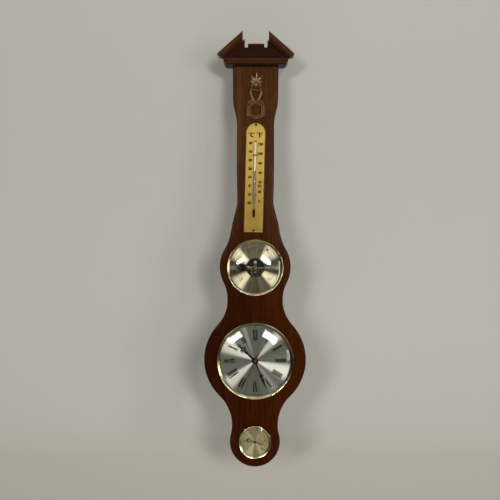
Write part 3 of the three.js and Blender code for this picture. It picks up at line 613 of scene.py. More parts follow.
# Back board
FOOT_LOBE = (45.1, 45.6)
CLOCK_LOBE = (194.5, 92.7)
BAROMETER_LOBE = (363.5, 64.6)
LOWER_WAIST = 41.8
UPPER_WAIST = 50.3
SHOULDER = 31.5
BOARD_TOP = 728.2
BOARD_HOLES = ((CLOCK_Z, 64), (BAROMETER_Z, 46), (HYGROMETER_Z, 26))


def waist(lower, upper, half_width):
    """The circle that touches both lobes from outside and leaves the given half width."""
    def reach(lobe, r):
        return math.sqrt((lobe[1] - half_width) * (lobe[1] + half_width + 2 * r))

    low, high = 1, 400
    for _ in range(50):
        r = (low + high) / 2
        if reach(lower, r) + reach(upper, r) < upper[0] - lower[0]:
            low = r
        else:
            high = r
    return half_width + low, lower[0] + reach(lower, low), low


def board_outline():
    """Three lobes joined by two waists, then the shoulder and the neck."""
    lower = waist(FOOT_LOBE, CLOCK_LOBE, LOWER_WAIST)
    upper = waist(CLOCK_LOBE, BAROMETER_LOBE, UPPER_WAIST)

    def heading(from_x, from_z, to_x, to_z):
        return math.atan2(to_z - from_z, to_x - from_x) / DEGREE

    def to_waist(lobe, circle):
        return heading(0, lobe[0], *circle[:2])

    def fillet(circle, start_lobe, end_lobe):
        x, z, r = circle
        return arc(x, z, r, heading(x, z, 0, start_lobe[0]) + 360, heading(x, z, 0, end_lobe[0]))[1:]

    def lobe(circle, start, end):
        return arc(0, *circle, start, end)[1:]

    side = [(0, FOOT_LOBE[0] - FOOT_LOBE[1])]
    side += lobe(FOOT_LOBE, -90, to_waist(FOOT_LOBE, lower))
    side += fillet(lower, FOOT_LOBE, CLOCK_LOBE)
    side += lobe(CLOCK_LOBE, to_waist(CLOCK_LOBE, lower), to_waist(CLOCK_LOBE, upper))
    side += fillet(upper, CLOCK_LOBE, BAROMETER_LOBE)
    side += lobe(BAROMETER_LOBE, to_waist(BAROMETER_LOBE, upper), SHOULDER)
    side += bezier(side[-1], (47.6, 408.8), (44.8, 425.2), (42.9, 437))[1:]
    side += bezier(side[-1], (40.3, 452.8), (33, 470), (33, 484))[1:]
    side += [(34, 540), (33.8, 620)]
    side += bezier(side[-1], (33.8, 642), (41, 652), (41.2, 668))[1:]
    return mirrored(side + [(41.7, BOARD_TOP)])


def cut_away(piece, *cutters):
    """Takes blocks out of a piece, and leaves a plain mesh."""
    blocks = []
    for mesh in cutters:
        data = mesh_data("cutter", mesh)
        data.transform(WALL_FRAME)
        blocks.append(shown("cutter", data))
        cut = piece.modifiers.new("cut", "BOOLEAN")
        cut.object = blocks[-1]
        cut.operation = "DIFFERENCE"
        cut.solver = "EXACT"
    view = bpy.context.evaluated_depsgraph_get()
    data = bpy.data.meshes.new_from_object(piece.evaluated_get(view))
    piece.modifiers.clear()
    piece.data = data
    for block in blocks:
        bpy.data.objects.remove(block)


def back_board():
    """The board with holes for the instruments and a recess with a slot for the hanger."""
    edge = [(0.7, -20), (0, -19.3), (0, -3.6), (0.25, -2.1), (0.95, -0.9), (2.1, -0.2), (3.6, 0)]
    holes = [round_hole(0, z, r, 3) for z, r in BOARD_HOLES]
    mesh = slab([board_outline()] + holes, edge, [(0, -20), (0, 0)])
    piece = add("back_board_veneered", mesh, place(), MAHOGANY, "back_board")
    cut_away(piece, box((-10.3, 10.3), (-1, 1.9), (673.7, 720.3)), box((-7, 7), (1, 9), (683, 706)))


back_board()


# Pediment
CORNICE_BOTTOM = 728.5
CORNICE_FRONT = 39
CORNICE_HALF = 58
CORNICE_TOP = 739
PEDIMENT_FOOT = CORNICE_TOP + 0.3


def cornice():
    profile = [(6.6, 0), *bezier((6.6, 0.1), (4.2, 0.5), (1.7, 2.2), (1.0, 4.6), 7), (2.6, 4.7), (2.6, 5.6),
               (0, 5.7), (0, 9.7), (0.25, 10.3), (0.9, 10.5)]
    mesh = bmesh.new()
    rings = []
    for inset, rise in profile:
        x, y, z = CORNICE_HALF - inset, inset - CORNICE_FRONT, CORNICE_BOTTOM + rise
        rings.append([mesh.verts.new(p) for p in ((-x, 0, z), (-x, y, z), (x, y, z), (x, 0, z))])
    mesh = solid(capped(mesh, rings))
    add("cornice_profiled", mesh, WALL_FRAME, MOULDING, "cornice_moulding", smooth=40)


RAKE_TIP = (69.5, 746.3)
RAKE_HEIGHT = 13
RAKE_LENGTH = 66
RAKE_BACK = 25.3
RAKE_INNER_END = 23.6
RAKE_FOOT_RISE = 75 * DEGREE


def sliced(mesh, point, normal):
    """Takes away what lies beyond a plane, and closes the cut."""
    everything = mesh.verts[:] + mesh.edges[:] + mesh.faces[:]
    kept = bmesh.ops.bisect_plane(mesh, geom=everything, plane_co=point, plane_no=normal, clear_outer=True)
    edges = [e for e in kept["geom_cut"] if isinstance(e, bmesh.types.BMEdge)]
    bmesh.ops.edgeloop_fill(mesh, edges=edges)


def rake(name, end_lean):
    """A raking moulding. Its outer end leans in towards the foot, which rises to the tip."""
    cove = bezier((26.5, 0.35), (30.5, 0.6), (36.4, 1.9), (38.6, 4.5), 9)
    section = [(RAKE_BACK, 0), (26, 0), (26.3, 0.3), *cove, (38.9, 4.9), (40.6, 4.9), (41, 5.3),
               (41, 10.9), (40.1, 11.1), (40.1, 11.6), (41, 11.8), (41, 12.6), (40.6, RAKE_HEIGHT),
               (RAKE_BACK, RAKE_HEIGHT)]
    up = Vector((math.sin(RAKE_ANGLE), 0, math.cos(RAKE_ANGLE)))
    along = Vector((-math.cos(RAKE_ANGLE), 0, math.sin(RAKE_ANGLE)))
    tip = Vector((RAKE_TIP[0], 0, RAKE_TIP[1]))
    start = tip - up * RAKE_HEIGHT
    mesh = bmesh.new()
    capped(mesh, [[mesh.verts.new(start + OUT * v + up * t + along * run) for v, t in section]
                  for run in (-RAKE_HEIGHT, RAKE_LENGTH)])
    sliced(mesh, (RAKE_INNER_END, 0, 0), (-1, 0, 0))
    sliced(mesh, (0, 0, PEDIMENT_FOOT), (0, 0, -1))
    for point, lean in (((CORNICE_HALF, 0, PEDIMENT_FOOT), RAKE_FOOT_RISE), (tip, end_lean * DEGREE)):
        sliced(mesh, point, (math.cos(lean), 0, -math.sin(lean)))
    if name == "left":
        mesh.transform(Matrix.Scale(-1, 4, (1, 0, 0)))
    node = f"rake_moulding_{name}"
    add(f"rake_{name}_profiled", solid(mesh), WALL_FRAME, RAKE_WOOD[name], node, smooth=40)


def tympanum():
    """The panel under the rakes, notched for the plinth block between them."""
    half_width, under_rake_top, notch, notch_x = 56, 10.3, 20.6, 0.8
    sill, block_half, block_top = 761.2, 14.9, 768

    def slope(x):
        run = RAKE_TIP[0] - x
        return RAKE_TIP[1] + run * math.tan(RAKE_ANGLE) - under_rake_top / math.cos(RAKE_ANGLE)

    def half(shift):
        inner, block = notch + shift, block_half + shift
        return [(half_width, PEDIMENT_FOOT), (half_width, slope(half_width)), (inner, slope(inner)),
                (inner, sill), (block, sill), (block, block_top)]

    mesh = slab([half(notch_x) + flipped(half(-notch_x))], [(0, 0), (0, 24.3), (0.2, 24.8), (0.8, 25)])
    add("tympanum_shaped", mesh, WALL_FRAME, MAHOGANY_DARK, "tympanum_panel")


cornice()
rake("right", 24)
rake("left", 38)
tympanum()


# Carved ornament: a leaf spray over a vase of two ribs, crossed scrolls, a hexagon and two pilasters
SPRAY_Z = 22
SPRAY = (
    (5, 19.6, 6, 2.6), (-32, 15.6, 6.4, 3.2), (40, 16.6, 6, 2.4), (-70, 11, 6, 2.4), (76, 12.4, 5.8, 2.4),
    (-116, 10.6, 5.6, 2.2), (116, 12, 5.6, 2.2), (-14, 13.4, 6, 1.0), (22, 14, 6, 1.0), (-50, 12, 5.4, 0.8),
    (58, 12, 5.4, 0.8), (-94, 9.6, 5, 0.6), (96, 10, 5, 0.6), (-150, 8, 5, 1.6), (152, 8, 5, 1.6))
BERRIES = ((1.4, 21, 2.2), (-9.2, 17.2, 1.6), (9.8, 16.8, 1.6), (-8.4, 34.4, 1.6), (-1.4, 11.4, 1.5))


def carved_leaf(angle, length, width, lift):
    """A leaf with a sharp midrib and a tip that rises, from its own foot along +z."""
    mesh = bmesh.new()
    rows, columns = 9, 7
    grid = []
    for i in range(rows + 1):
        t = i / rows
        half = width / 2 * math.sin(math.pi * min(t * 0.92 + 0.06, 1)) ** 0.8 + 0.12
        row = []
        for k in range(columns):
            s = 2 * k / (columns - 1) - 1
            vein = 0.5 * math.cos(3 * math.pi * s) * half / width
            u = 1.2 + 2.4 * (1 - abs(s) ** 1.4) + lift * t * t - vein
            row.append(mesh.verts.new((s * half, -u, t * length)))
        grid.append(row)
    for a, b in zip(grid, grid[1:]):
        for k in range(columns - 1):
            mesh.faces.new((a[k], a[k + 1], b[k + 1], b[k]))
    bmesh.ops.solidify(mesh, geom=mesh.faces[:], thickness=0.8)
    return moved(mesh, z=SPRAY_Z, angle=angle)


def rib(points, widths, height=2.2):
    """A carved rib along a curve of four (x, z) points, with half widths that shape its taper."""
    count = 18
    path = [(x, height, z) for x, z in bezier(*points, count)]
    radii = [p[0] for p in bezier(*((w,) for w in widths), count)]
    return sweep(path, radii, sides=14, depth=0.66)


def bead(x, z, r):
    rise = [(r * math.cos(a * DEGREE), 2.4 + r * math.sin(a * DEGREE)) for a in range(0, 90, 15)]
    return moved(lathe([(0, 0.4), (r, 0.4), *rise, (0, 2.4 + r)], 24), x, z)


def vase_side(side):
    """The ribs, scrolls and pilaster of one side."""
    def at(*points):
        return [(side * x, z) for x, z in points]

    def bar(a, b, u, radius, sides, depth):
        return sweep([(x, u, z) for x, z in at(a, b)], radius, sides, depth)

    pilaster = rounded(at((10.5, -36.2), (17.2, -36.2), (17.2, -14.8), (10.5, -18.2)), 1.0)
    return [
        rib(at((6.4, 15.2), (12.8, 7.0), (8.8, -2.5), (0.2, -12.1)), (1.4, 4.0, 2.1, 0.9), 2.3),
        rib(at((0.2, -12), (3, -14.6), (6, -16), (10.4, -18)), (1.0, 1.0, 1.0, 1.1), 2.5),
        rib(at((5.4, -6.4), (8, -8.4), (11.4, -10.8), (15, -15)), (1.3, 1.5, 1.5, 1.3), 1.5),
        rib(at((3.4, -10.4), (6, -12), (9, -13.4), (12.4, -16.4)), (0.9, 1.2, 1.2, 1.2), 1.4),
        slab([pilaster], [(0, 0.3), (0, 1.2), (0.4, 1.7), (1.2, 1.8)]),
        bar((16.4, -35.6), (16.4, -16), 2.8, 0.75, 10, 1.4),
        bar((12.4, -34.8), (12.4, -18), 2.6, 0.45, 8, 1.6),
        bar((10, -36.4), (17.4, -36.4), 1.8, 0.9, 12, 1.2),
        rib(at((10.6, -18), (10.2, -22), (10.2, -28), (10.6, -32.6)), (0.8, 0.9, 0.9, 0.8), 2.0),
        rib(at((12.2, -33.2), (8.4, -34.6), (5.6, -36.2), (0.4, -38.4)), (1.0, 1.0, 1.0, 1.0), 2.5),
        rib(at((12, -37), (8, -38.4), (4, -40), (0.4, -42.4)), (1.3, 1.5, 1.4, 0.8), 1.5)]


def ornament():
    heart = lathe([(0, 0.4), (6.6, 0.4), (6.5, 1.4), (5.6, 2.6), (3.4, 3.6), (0, 4.0)], 40)
    heart.transform(Matrix.Diagonal((1, 1, 1.25, 1)))
    parts = [moved(heart, z=SPRAY_Z - 1)]
    parts += [carved_leaf(*leaf) for leaf in SPRAY]
    parts += [bead(*berry) for berry in BERRIES]
    parts.append(rib(((-4.6, 11), (-1.5, 10.2), (2, 9.8), (6.4, 10)), (1.2, 1.2, 1.2, 1.0)))
    parts += vase_side(1) + vase_side(-1) + [bead(0.4, -39.6, 1.6)]
    where = place(0.5, ORNAMENT_Z - 0.3)
    add("ornament_fretwork", joined(*parts), where, GILT, "carved_ornament", smooth=50)


ornament()


# Printing and engraving: flat figures a hair above the face
class Print:
    """Marks in one plane, u millimetres in front of the board."""

    def __init__(self, u):
        self.mesh = bmesh.new()
        self.u = u

    def shape(self, points):
        self.mesh.faces.new([self.mesh.verts.new((x, -self.u, z)) for x, z in points])

    def line(self, a, b, width):
        a, b = Vector(a), Vector(b)
        across = (b - a).normalized().orthogonal() * (width / 2)
        self.shape([a + across, b + across, b - across, a - across])

    def ray(self, angle, inner, outer, width):
        """A line out from the centre; angles run clockwise from the top."""
        self.line(on_dial(inner, angle), on_dial(outer, angle), width)

    def ring(self, r, width, start=0.0, end=360.0, step=4.0, x=0.0, z=0.0):
        count = max(3, math.ceil((end - start) / step))
        for i in range(count):
            a, b = [(start + (end - start) * k / count) * DEGREE for k in (i, i + 1)]
            self.shape([(x + q * math.sin(t), z + q * math.cos(t)) for q, t in (
                (r - width / 2, a), (r + width / 2, a), (r + width / 2, b), (r - width / 2, b))])

    def dot(self, x, z, r):
        self.shape(arc(x, z, r, 0, 348, 12))

    def write(self, text, size, x, z, weight, angle=0.0):
        """Figures centred on a point, with capitals of the given size."""
        points, faces = letters(text, weight)
        low = [min(p[k] for p in points) for k in (0, 1)]
        high = [max(p[k] for p in points) for k in (0, 1)]
        scale = size / (high[1] - low[1])
        turn = Matrix.Rotation(-angle * DEGREE, 2)
        corners = []
        for point in points:
            local = turn @ (Vector([point[k] - (low[k] + high[k]) / 2 for k in (0, 1)]) * scale)
            corners.append(self.mesh.verts.new((x + local.x, -self.u, z + local.y)))
        for face in faces:
            self.mesh.faces.new([corners[i] for i in face])

    def write_round(self, number, size, r, angle, weight):
        """Figures on a circle, their feet towards the centre."""
        self.write(str(number), size, *on_dial(r, angle), weight, angle)


def letters(text, weight):
    """The outline of a text, thickened by a weight, as flat points and faces."""
    curve = bpy.data.curves.new("figures", "FONT")
    curve.body = text
    curve.resolution_u = 3
    curve.offset = weight
    item = shown("figures", curve)
    bpy.context.view_layer.update()
    data = bpy.data.meshes.new_from_object(item.evaluated_get(bpy.context.evaluated_depsgraph_get()))
    found = [tuple(v.co[:2]) for v in data.vertices], [tuple(p.vertices) for p in data.polygons]
    bpy.data.objects.remove(item)
    bpy.data.meshes.remove(data)
    return found


def add_print(name, marks, where, paint):
    for face in marks.mesh.faces:
        face.normal_update()
        if face.normal.y > 0:
            face.normal_flip()
    add(name, marks.mesh, where, paint, smooth=0)


# Thermometer
THERMOMETER_FRAME = place(*THERMOMETER, THERMOMETER_LEAN)
PLATE_HALF = 17.5
PLATE_TOP = 99.5
PLATE_FRONT = 1.5
CROWN_Z = PLATE_TOP - PLATE_HALF
EDGE_INSET = 1.7
PIN_Z = 95.9
TUBE_U = 5
TUBE_R = 3.1
COLUMN_FOOT = -57
COLUMN_TOP = 11.8
NECK_TOP = -48
NECK_R = 0.55
FREEZING_Z = -14.9
CELSIUS_STEP = 1.555


def upright(profile, segments=40):
    """Turned about the tube's axis, from [radius, height] points."""
    mesh = lathe(profile, segments)
    mesh.transform(Matrix.Translation((0, -TUBE_U, 0)) @ Matrix.Rotation(-LEVEL, 4, "X"))
    return mesh


def scale_letters(marks):
    """Serif degree letters: a crescent C and an F of one stem, two arms and three serifs."""
    c_x, f_x, v, r = -6.0, 8.6, 77.6, 4.4
    marks.shape(arc(c_x, v, r, 42, 318, 12) + arc(c_x + 0.9, v, r - 1.5, 310, 50, 12))
    marks.line((c_x + 3.3, v + 1.2), (c_x + 3.3, v + 4), 0.8)
    strokes = ((-1.6, -4.3, -1.6, 4.3, 2.3), (-3.4, 3.8, 3.6, 3.8, 1.3), (-1, 0.1, 2.4, 0.1, 1.4),
               (2.2, 1.4, 2.2, -1.2, 0.7), (3.4, 4.3, 3.4, 2.0, 0.8), (-3.2, -4.1, 0.4, -4.1, 0.7))
    for x0, z0, x1, z1, width in strokes:
        marks.line((f_x + x0, v + z0), (f_x + x1, v + z1), width)
    for centre in (-11.9, 3.2):
        marks.ring(1.1, 0.75, step=30, x=centre, z=v + 3.4)


def thermometer_scale():
    """Ticks and figures: Celsius on the left, Fahrenheit on the right."""
    marks = Print(PLATE_FRONT + 0.02)
    scale_letters(marks)
    left = [(-1, t, t, t % 10 == 0) for t in range(-20, 51, 2)]
    right = [(1, t, (t - 32) / 1.8, t % 20 == 0 or t == 32) for t in range(0, 121, 4)]
    for side, reading, celsius, long in left + right:
        v = FREEZING_Z + CELSIUS_STEP * celsius
        marks.line((side * 3.6, v), (side * (5.2 if long else 4.5), v), 0.36)
        if long:
            size, x = (5.3, -8.8) if side < 0 else (5.2, 9.4)
            marks.write(str(abs(reading)), size, x, v, 0.07)
    marks.line((-15.9, -93.6), (15.9, -93.6), 0.3)
    add_print("thermometer_scale", marks, THERMOMETER_FRAME, ENGRAVED)


def thermometer_plate():
    outline = [(-PLATE_HALF, -PLATE_TOP), (PLATE_HALF, -PLATE_TOP), *arc(0, CROWN_Z, PLATE_HALF, 0, 180, 4)]
    pin_holes = [round_hole(0, v, 1.15, 30) for v in (PIN_Z, -PIN_Z)]
    section = [(0, 0.3), (0, 0.65), (0.25, 0.95), (1.25, 1.42), (1.5, PLATE_FRONT)]
    mesh = slab([outline] + pin_holes, section, [(0, 0.3), (0, PLATE_FRONT)])
    add("scale_plate", mesh, THERMOMETER_FRAME, SCALE_BRASS, "thermometer_plate", smooth=20)
    thermometer_scale()

    # Painted highlights: pale lines just inside the plate's edge stand for light caught on its bevel.
    edge = Print(PLATE_FRONT + 0.02)
    inset = PLATE_HALF - EDGE_INSET
    for x in (-inset, inset):
        edge.line((x, EDGE_INSET - PLATE_TOP), (x, CROWN_Z), 0.3)
    edge.line((-inset, EDGE_INSET - PLATE_TOP), (inset, EDGE_INSET - PLATE_TOP), 0.5)
    edge.ring(inset, 0.3, -90, 90, 6, z=CROWN_Z)
    add_print("scale_plate_edge_highlight", edge, THERMOMETER_FRAME, EDGE_HIGHLIGHT_PAINT)

    head = [(0, -6.5), (0.85, -5.5), (0.85, 1.7), (2.1, 1.7), (2.15, 1.95), (1.7, 2.6), (0.9, 2.85),
            (0, 2.9)]
    for end, v in (("top", PIN_Z), ("bottom", -PIN_Z)):
        pin = moved(lathe(head, 28), z=v)
        add(f"pin_{end}", pin, THERMOMETER_FRAME, BLACKED, f"plate_pin_{end}")


def tube():
    """The glass with its bulb, a cap on its end, an enamelled backing strip and the filling of the bulb."""
    bulb_end = [(2.8 * math.sin(a * DEGREE), -71.1 - 2.6 * math.cos(a * DEGREE)) for a in range(15, 91, 15)]
    glass = [(0, -73.7), *bulb_end, (2.8, -60.6), (2.5, -58.6), (1.9, -57), (1.9, -50), (2.3, -48.8),
             (TUBE_R, -47.4), (TUBE_R, 64.6), (2.6, 65.5), (2.35, 65.7), (2.35, -47), (0.8, -48.6),
             (0.8, -57.4), (2.2, -60), (2.2, -71.4), (0, -72.6)]
    add("tube", upright(glass), THERMOMETER_FRAME, TUBE_GLASS, "thermometer_tube")
    stub = [(0, 64.9), (2.1, 64.9), (2.1, 65.7), (1.5, 66.4), (0, 66.7)]
    add("tube_cap", upright(stub, 28), THERMOMETER_FRAME, ENGRAVED)
    back = [(2.05 * math.sin(a * DEGREE), -2.2 * math.cos(a * DEGREE)) for a in range(-80, 81, 10)]
    strip = bmesh.new()
    rows = [[strip.verts.new((x, -TUBE_U - y, v)) for x, y in back] for v in (-46.8, 64.8)]
    for i in range(len(back) - 1):
        strip.faces.new((rows[0][i], rows[0][i + 1], rows[1][i + 1], rows[1][i]))
    bmesh.ops.solidify(strip, geom=strip.faces[:], thickness=0.12)
    add("tube_backing", strip, THERMOMETER_FRAME, ENAMEL)
    bulb = [(0, -72.2), (1.3, -71.9), (2.0, -70.9), (2.05, -60.4), (1.5, -59), (0.55, -57.6), (0, -57.6)]
    add("bulb_filling", upright(bulb, 28), THERMOMETER_FRAME, LIQUID_DARK,
        "thermometer_bulb_liquid")


def column():
    """The liquid in the bore, thin in the neck."""
    count = 40
    foot = COLUMN_FOOT + 0.2
    heights = [foot + (COLUMN_TOP - COLUMN_FOOT - 0.2) * i / count for i in range(count + 1)]
    widths = [NECK_R if v < NECK_TOP else min(1.75, NECK_R + (v - NECK_TOP) * 0.6) for v in heights]
    profile = [(0, heights[0]), *zip(widths, heights), (0, heights[-1])]
    return add("column_seen", upright(profile, 24), THERMOMETER_FRAME, LIQUID,
               "thermometer_column")


def clips():
    """Two sprung straps that hold the tube."""
    inner, outer, foot = TUBE_R + 0.2, TUBE_R + 0.85, PLATE_FRONT + 0.2 - TUBE_U
    ear = outer + 2.4
    around = Matrix(((1, 0, 0), (0, 0, -1), (0, 1, 0))).to_4x4()
    for end, v in (("top", 40.6), ("bottom", -30.9)):
        strap = [(-ear, foot), (-inner, foot), *flipped(arc(0, 0, inner, 0, 180, 12)), (inner, foot),
                 (ear, foot), (ear, foot + 0.55), (outer, foot + 0.6), *arc(0, 0, outer, 0, 180, 12),
                 (-outer, foot + 0.6), (-ear, foot + 0.55)]
        mesh = slab([strap], [(0.15, -1.2), (0, -1.05), (0, 1.05), (0.15, 1.2)])
        mesh.transform(Matrix.Translation((0, -TUBE_U, v)) @ around)
        node = f"thermometer_clip_{end}"
        add(f"clip_{end}", mesh, THERMOMETER_FRAME, CLIP_BRASS, node, smooth=30)


thermometer_plate()
tube()
column_piece = column()
clips()
cap = upright([(0, 12.05), (1.75, 12.05), (1.6, 13.1), (0.9, 13.45), (0, 13.5)], 24)
add("column_top", cap, THERMOMETER_FRAME, LIQUID, "thermometer_meniscus",
    "thermometer_meniscus")


# Round instruments
BEZEL_SLOPE = 20 * DEGREE
FACE_U = 1.92


def bezel(name, z, outer, sight, height, paint):
    """A pressed bezel: a thin upright side, a narrow rim and a wide slope in to the glass."""
    width = outer - sight
    inner = outer - 0.9
    lip = height * 0.985 - (width * 0.7 - 0.15) * math.tan(BEZEL_SLOPE)
    roll = [(outer, 0.3), (outer, height * 0.8), (outer - width * 0.08, height * 0.97),
            (outer - width * 0.2, height), (outer - width * 0.3, height * 0.985), (sight + 0.15, lip),
            (sight, lip - 0.25), (inner - width * 0.3, height * 0.74), (inner, height * 0.4), (inner, 0.3)]
    mesh = lathe(rounded(roll, width * 0.12, 3), 192)
    add(f"{name}_bezel_turned", mesh, place(z=z), paint, f"{name}_bezel", smooth=50)


def dome(name, z, sight, height, rise, glass, opening):
    """A domed glass that is held a little below the bezel's rim."""
    edge = sight + 1
    sphere = (edge ** 2 + rise ** 2) / (2 * rise)
    rim = height - 2.2
    radii = [opening + (edge - opening) * (1 - i / 16) for i in range(17)]

    def crown(r):
        return math.sqrt(sphere ** 2 - r ** 2) - (sphere - rise)

    outer = [(r, rim + crown(r)) for r in radii]
    inner = [(r, rim - glass + crown(r)) for r in reversed(radii)]
    mesh = lathe(outer + inner, 128)
    add(f"{name}_glass_domed", mesh, place(z=z), GLASS, f"{name}_glass", smooth=40)


def dial(name, z, opening, edge, paint):
    profile = [(opening, 1.3), (edge, 1.3), (edge, 1.85), (edge - 0.05, 1.9), (opening + 0.15, 1.9),
               (opening, 1.75)]
    add(f"{name}_dial_spun", lathe(profile, 192), place(z=z), paint, f"{name}_dial")


def sight_ring(name, z, inner, top, paint):
    near, far = inner + 0.2, inner + 0.8
    mesh = lathe(rounded([(near, 2.1), (far, 2.1), (far, top), (near, top)], 0.1, 2))
    add(f"{name}_spacer", mesh, place(z=z), paint, f"{name}_sight_ring")


bezel("clock", CLOCK_Z, 70, 64.2, 8.2, CLOCK_BRASS)
bezel("barometer", BAROMETER_Z, 51.3, 46.4, 8, BAROMETER_BRASS)
bezel("hygrometer", HYGROMETER_Z, 29.7, 25.5, 6.5, BRASS)
dome("clock", CLOCK_Z, 64.2, 8.2, 6.5, 1.5, 0)
dome("barometer", BAROMETER_Z, 46.4, 8, 5, 1.4, 1.7)
dome("hygrometer", HYGROMETER_Z, 25.5, 6.5, 3, 1.2, 0)
dial("clock", CLOCK_Z, 4.6, 67.3, SILVER)
dial("barometer", BAROMETER_Z, 16.2, 48.6, GOLD)
dial("hygrometer", HYGROMETER_Z, 1.6, 27, GOLD_SMALL)
sight_ring("clock", CLOCK_Z, 66.4, 4.7, SILVER)
sight_ring("barometer", BAROMETER_Z, 46.4, 4.6, GOLD)


# Clock face
HOURS = ("XII", "I", "II", "III", "IIII", "V", "VI", "VII", "VIII", "IX", "X", "XI")
NUMERAL_FOOT = 36.8
NUMERAL_TOP = 56.4
STROKE_WIDTH = {"I": 2.1, "V": 5.3, "X": 5.2}
# Offsets of each stroke at its top and at its foot, and its width
STROKES = {"I": ((0, 0, 1.7),),
           "V": ((-1.7, 0.2, 2.0), (2.1, 0.2, 1.1)),
           "X": ((-1.8, 1.8, 2.0), (1.9, -1.9, 1.1))}


def numeral(marks, text, angle):
    """Roman figures with heavy and fine strokes, their feet towards the centre."""
    turn = angle * DEGREE
    right = Vector((math.cos(turn), -math.sin(turn)))
    out = Vector((math.sin(turn), math.cos(turn)))

    def at(s, r):
        return right * s + out * r

    end = sum(STROKE_WIDTH[c] for c in text) / 2
    left = -end
    for glyph in text:
        middle = left + STROKE_WIDTH[glyph] / 2
        for top, foot, width in STROKES[glyph]:
            marks.line(at(middle + top, NUMERAL_TOP), at(middle + foot, NUMERAL_FOOT), width)
        left += STROKE_WIDTH[glyph]
    for r in (NUMERAL_FOOT + 0.15, NUMERAL_TOP - 0.15):
        marks.line(at(0.4 - end, r), at(end - 0.4, r), 0.25)


def clock_face():
    marks = Print(FACE_U)
    for hour, text in enumerate(HOURS):
        numeral(marks, text, hour * 30)
        marks.dot(*on_dial(61.8, hour * 30), 1.05)
    for minute in range(60):
        if minute % 5:
            marks.ray(minute * 6, 61.1, 62.6, 0.28)
    add_print("clock_figures", marks, place(z=CLOCK_Z), PRINT)


def blade(half, hub, bore, u0, u1, piercings=()):
    """A hand from its right half outline, with a round hub and holes."""
    ease = 0.14
    flat = slab([mirrored(half, 0.8), *piercings], [(0, u0), (0, u1 - ease), (ease, u1)])
    collar = lathe([(bore, u0), (hub, u0), (hub, u1 + 0.05), (hub - 0.3, u1 + 0.2), (bore, u1 + 0.2)], 40)
    return joined(flat, collar)


def curls(x, z, r, u, width=0.55):
    """A small scroll on each side of a hand, three quarters of a turn long."""
    path = []
    for i in range(17):
        t = i / 16
        angle = t * 1.5 * math.pi
        size = r * (1 - 0.35 * t)
        path.append((x + size * math.sin(angle), z + size * (1 - math.cos(angle)) - r))
    return [sweep([(side * px, u, pz) for px, pz in path], width, sides=8, depth=0.5) for side in (1, -1)]


def clock_hands():
    half = [(2.2, 1), (1.7, 12), (1.4, 18), (2.2, 20.6), (2.8, 22.4), (2.2, 24), (1.3, 25.6), (1.5, 27.6),
            (3.0, 28.8), (5.0, 28.0), (6.6, 29.2), (6.7, 31.2), (5.2, 32.5), (3.0, 32.1), (1.4, 33.6),
            (1.4, 36.2), (2.9, 37.8), (3.4, 39.4), (2.5, 40.8), (1.1, 41.5), (0.8, 43), (0.25, 46), (0, 46.4)]
    spots = ((4.7, 30.2, 0.95), (-4.7, 30.2, 0.95), (0, 30.3, 1.1), (0, 39.3, 0.95))
    piercings = [round_hole(*spot) for spot in spots]
    hour = joined(blade(half, 6.0, 2.8, 4.2, 4.8, piercings), *curls(2.4, 27.2, 1.9, 4.6))
    where = place(z=CLOCK_Z, angle=313.1)
    add("hour_hand_pierced", hour, where, BLACKED, "hour_hand", "hour_hand")
    half = [(1.4, 1), (0.9, 14), (0.95, 26), (1.5, 28), (3.9, 29.8), (3.6, 31), (1.5, 31.6), (1.1, 33.4),
            (2.4, 35.6), (2.7, 37.6), (1.9, 40.6), (1.1, 43.4), (0.75, 48), (0.2, 54), (0, 54.4)]
    minute = joined(blade(half, 4.6, 1.7, 6, 6.6), *curls(1.6, 28.4, 1.5, 6.35, 0.45))
    where = place(z=CLOCK_Z, angle=157.5)
    add("minute_hand_pierced", minute, where, BLACKED, "minute_hand", "minute_hand")
    where = place(z=CLOCK_Z, angle=205)
    half = [(0, -16), (1.3, -15.6), (1.3, -6), (0.8, -3), (0.6, 0), (0.55, 34), (0.35, 50), (0, 50.4)]
    sweep_hand = slab([mirrored(half)], [(0, 7.9), (0, 8.2), (0.1, 8.3)])
    button = lathe([(0, 7.7), (2.8, 7.7), (2.9, 8.1), (2.7, 9.1), (1.8, 9.65), (0, 9.8)], 36)
    staff = lathe([(0, -12.9), (0.5, -12.9), (0.5, 8.5), (0, 8.6)], 16)
    wheel = lathe([(0, -12.8), (6.5, -12.8), (6.5, -12), (0, -12)], 60)
    hand = joined(sweep_hand, staff, wheel)
    add("sweep_second_hand", hand, where, RED, "second_hand", "second_hand")
    add("sweep_hand_button", button, where, BUTTON_BROWN, body="second_hand")


clock_face()
clock_hands()


# Barometer face and works
DIAL_END = 135
CAPSULE_Z = -8


def barometer_face():
    """Inches of mercury outside, hectopascals inside."""
    marks = Print(FACE_U)
    for r, width in ((44.2, 0.55), (41.6, 0.3), (36.4, 0.5), (34.2, 0.25), (29.5, 0.3)):
        marks.ring(r, width, -DIAL_END, DIAL_END, 3)
    marks.ring(16.8, 0.9)
    low, high, per_inch = 27.5, 31.5, 50
    steps = round((high - low) * per_inch)
    for i in range(steps + 1):
        angle = -DIAL_END + 2 * DIAL_END * i / steps
        outer = 43.9 if i % 25 == 0 else 43.1 if i % 5 == 0 else 42.5
        marks.ray(angle, 41.6, outer, 0.45 if i % 25 == 0 else 0.2)
        if i % per_inch == per_inch / 2:
            marks.write_round(round(low + i / per_inch), 4.2, 38.9, angle, 0.07)
    for i in range(71):
        angle = -130 + 260 * i / 70
        marks.ray(angle, 34.2, 36.2 if i % 5 == 0 else 35.2, 0.18)
        if i % 10 == 0:
            marks.write_round(930 + i * 2, 2.1, 32.0, angle, 0.05)
    add_print("barometer_figures", marks, place(z=BAROMETER_Z), PRINT)


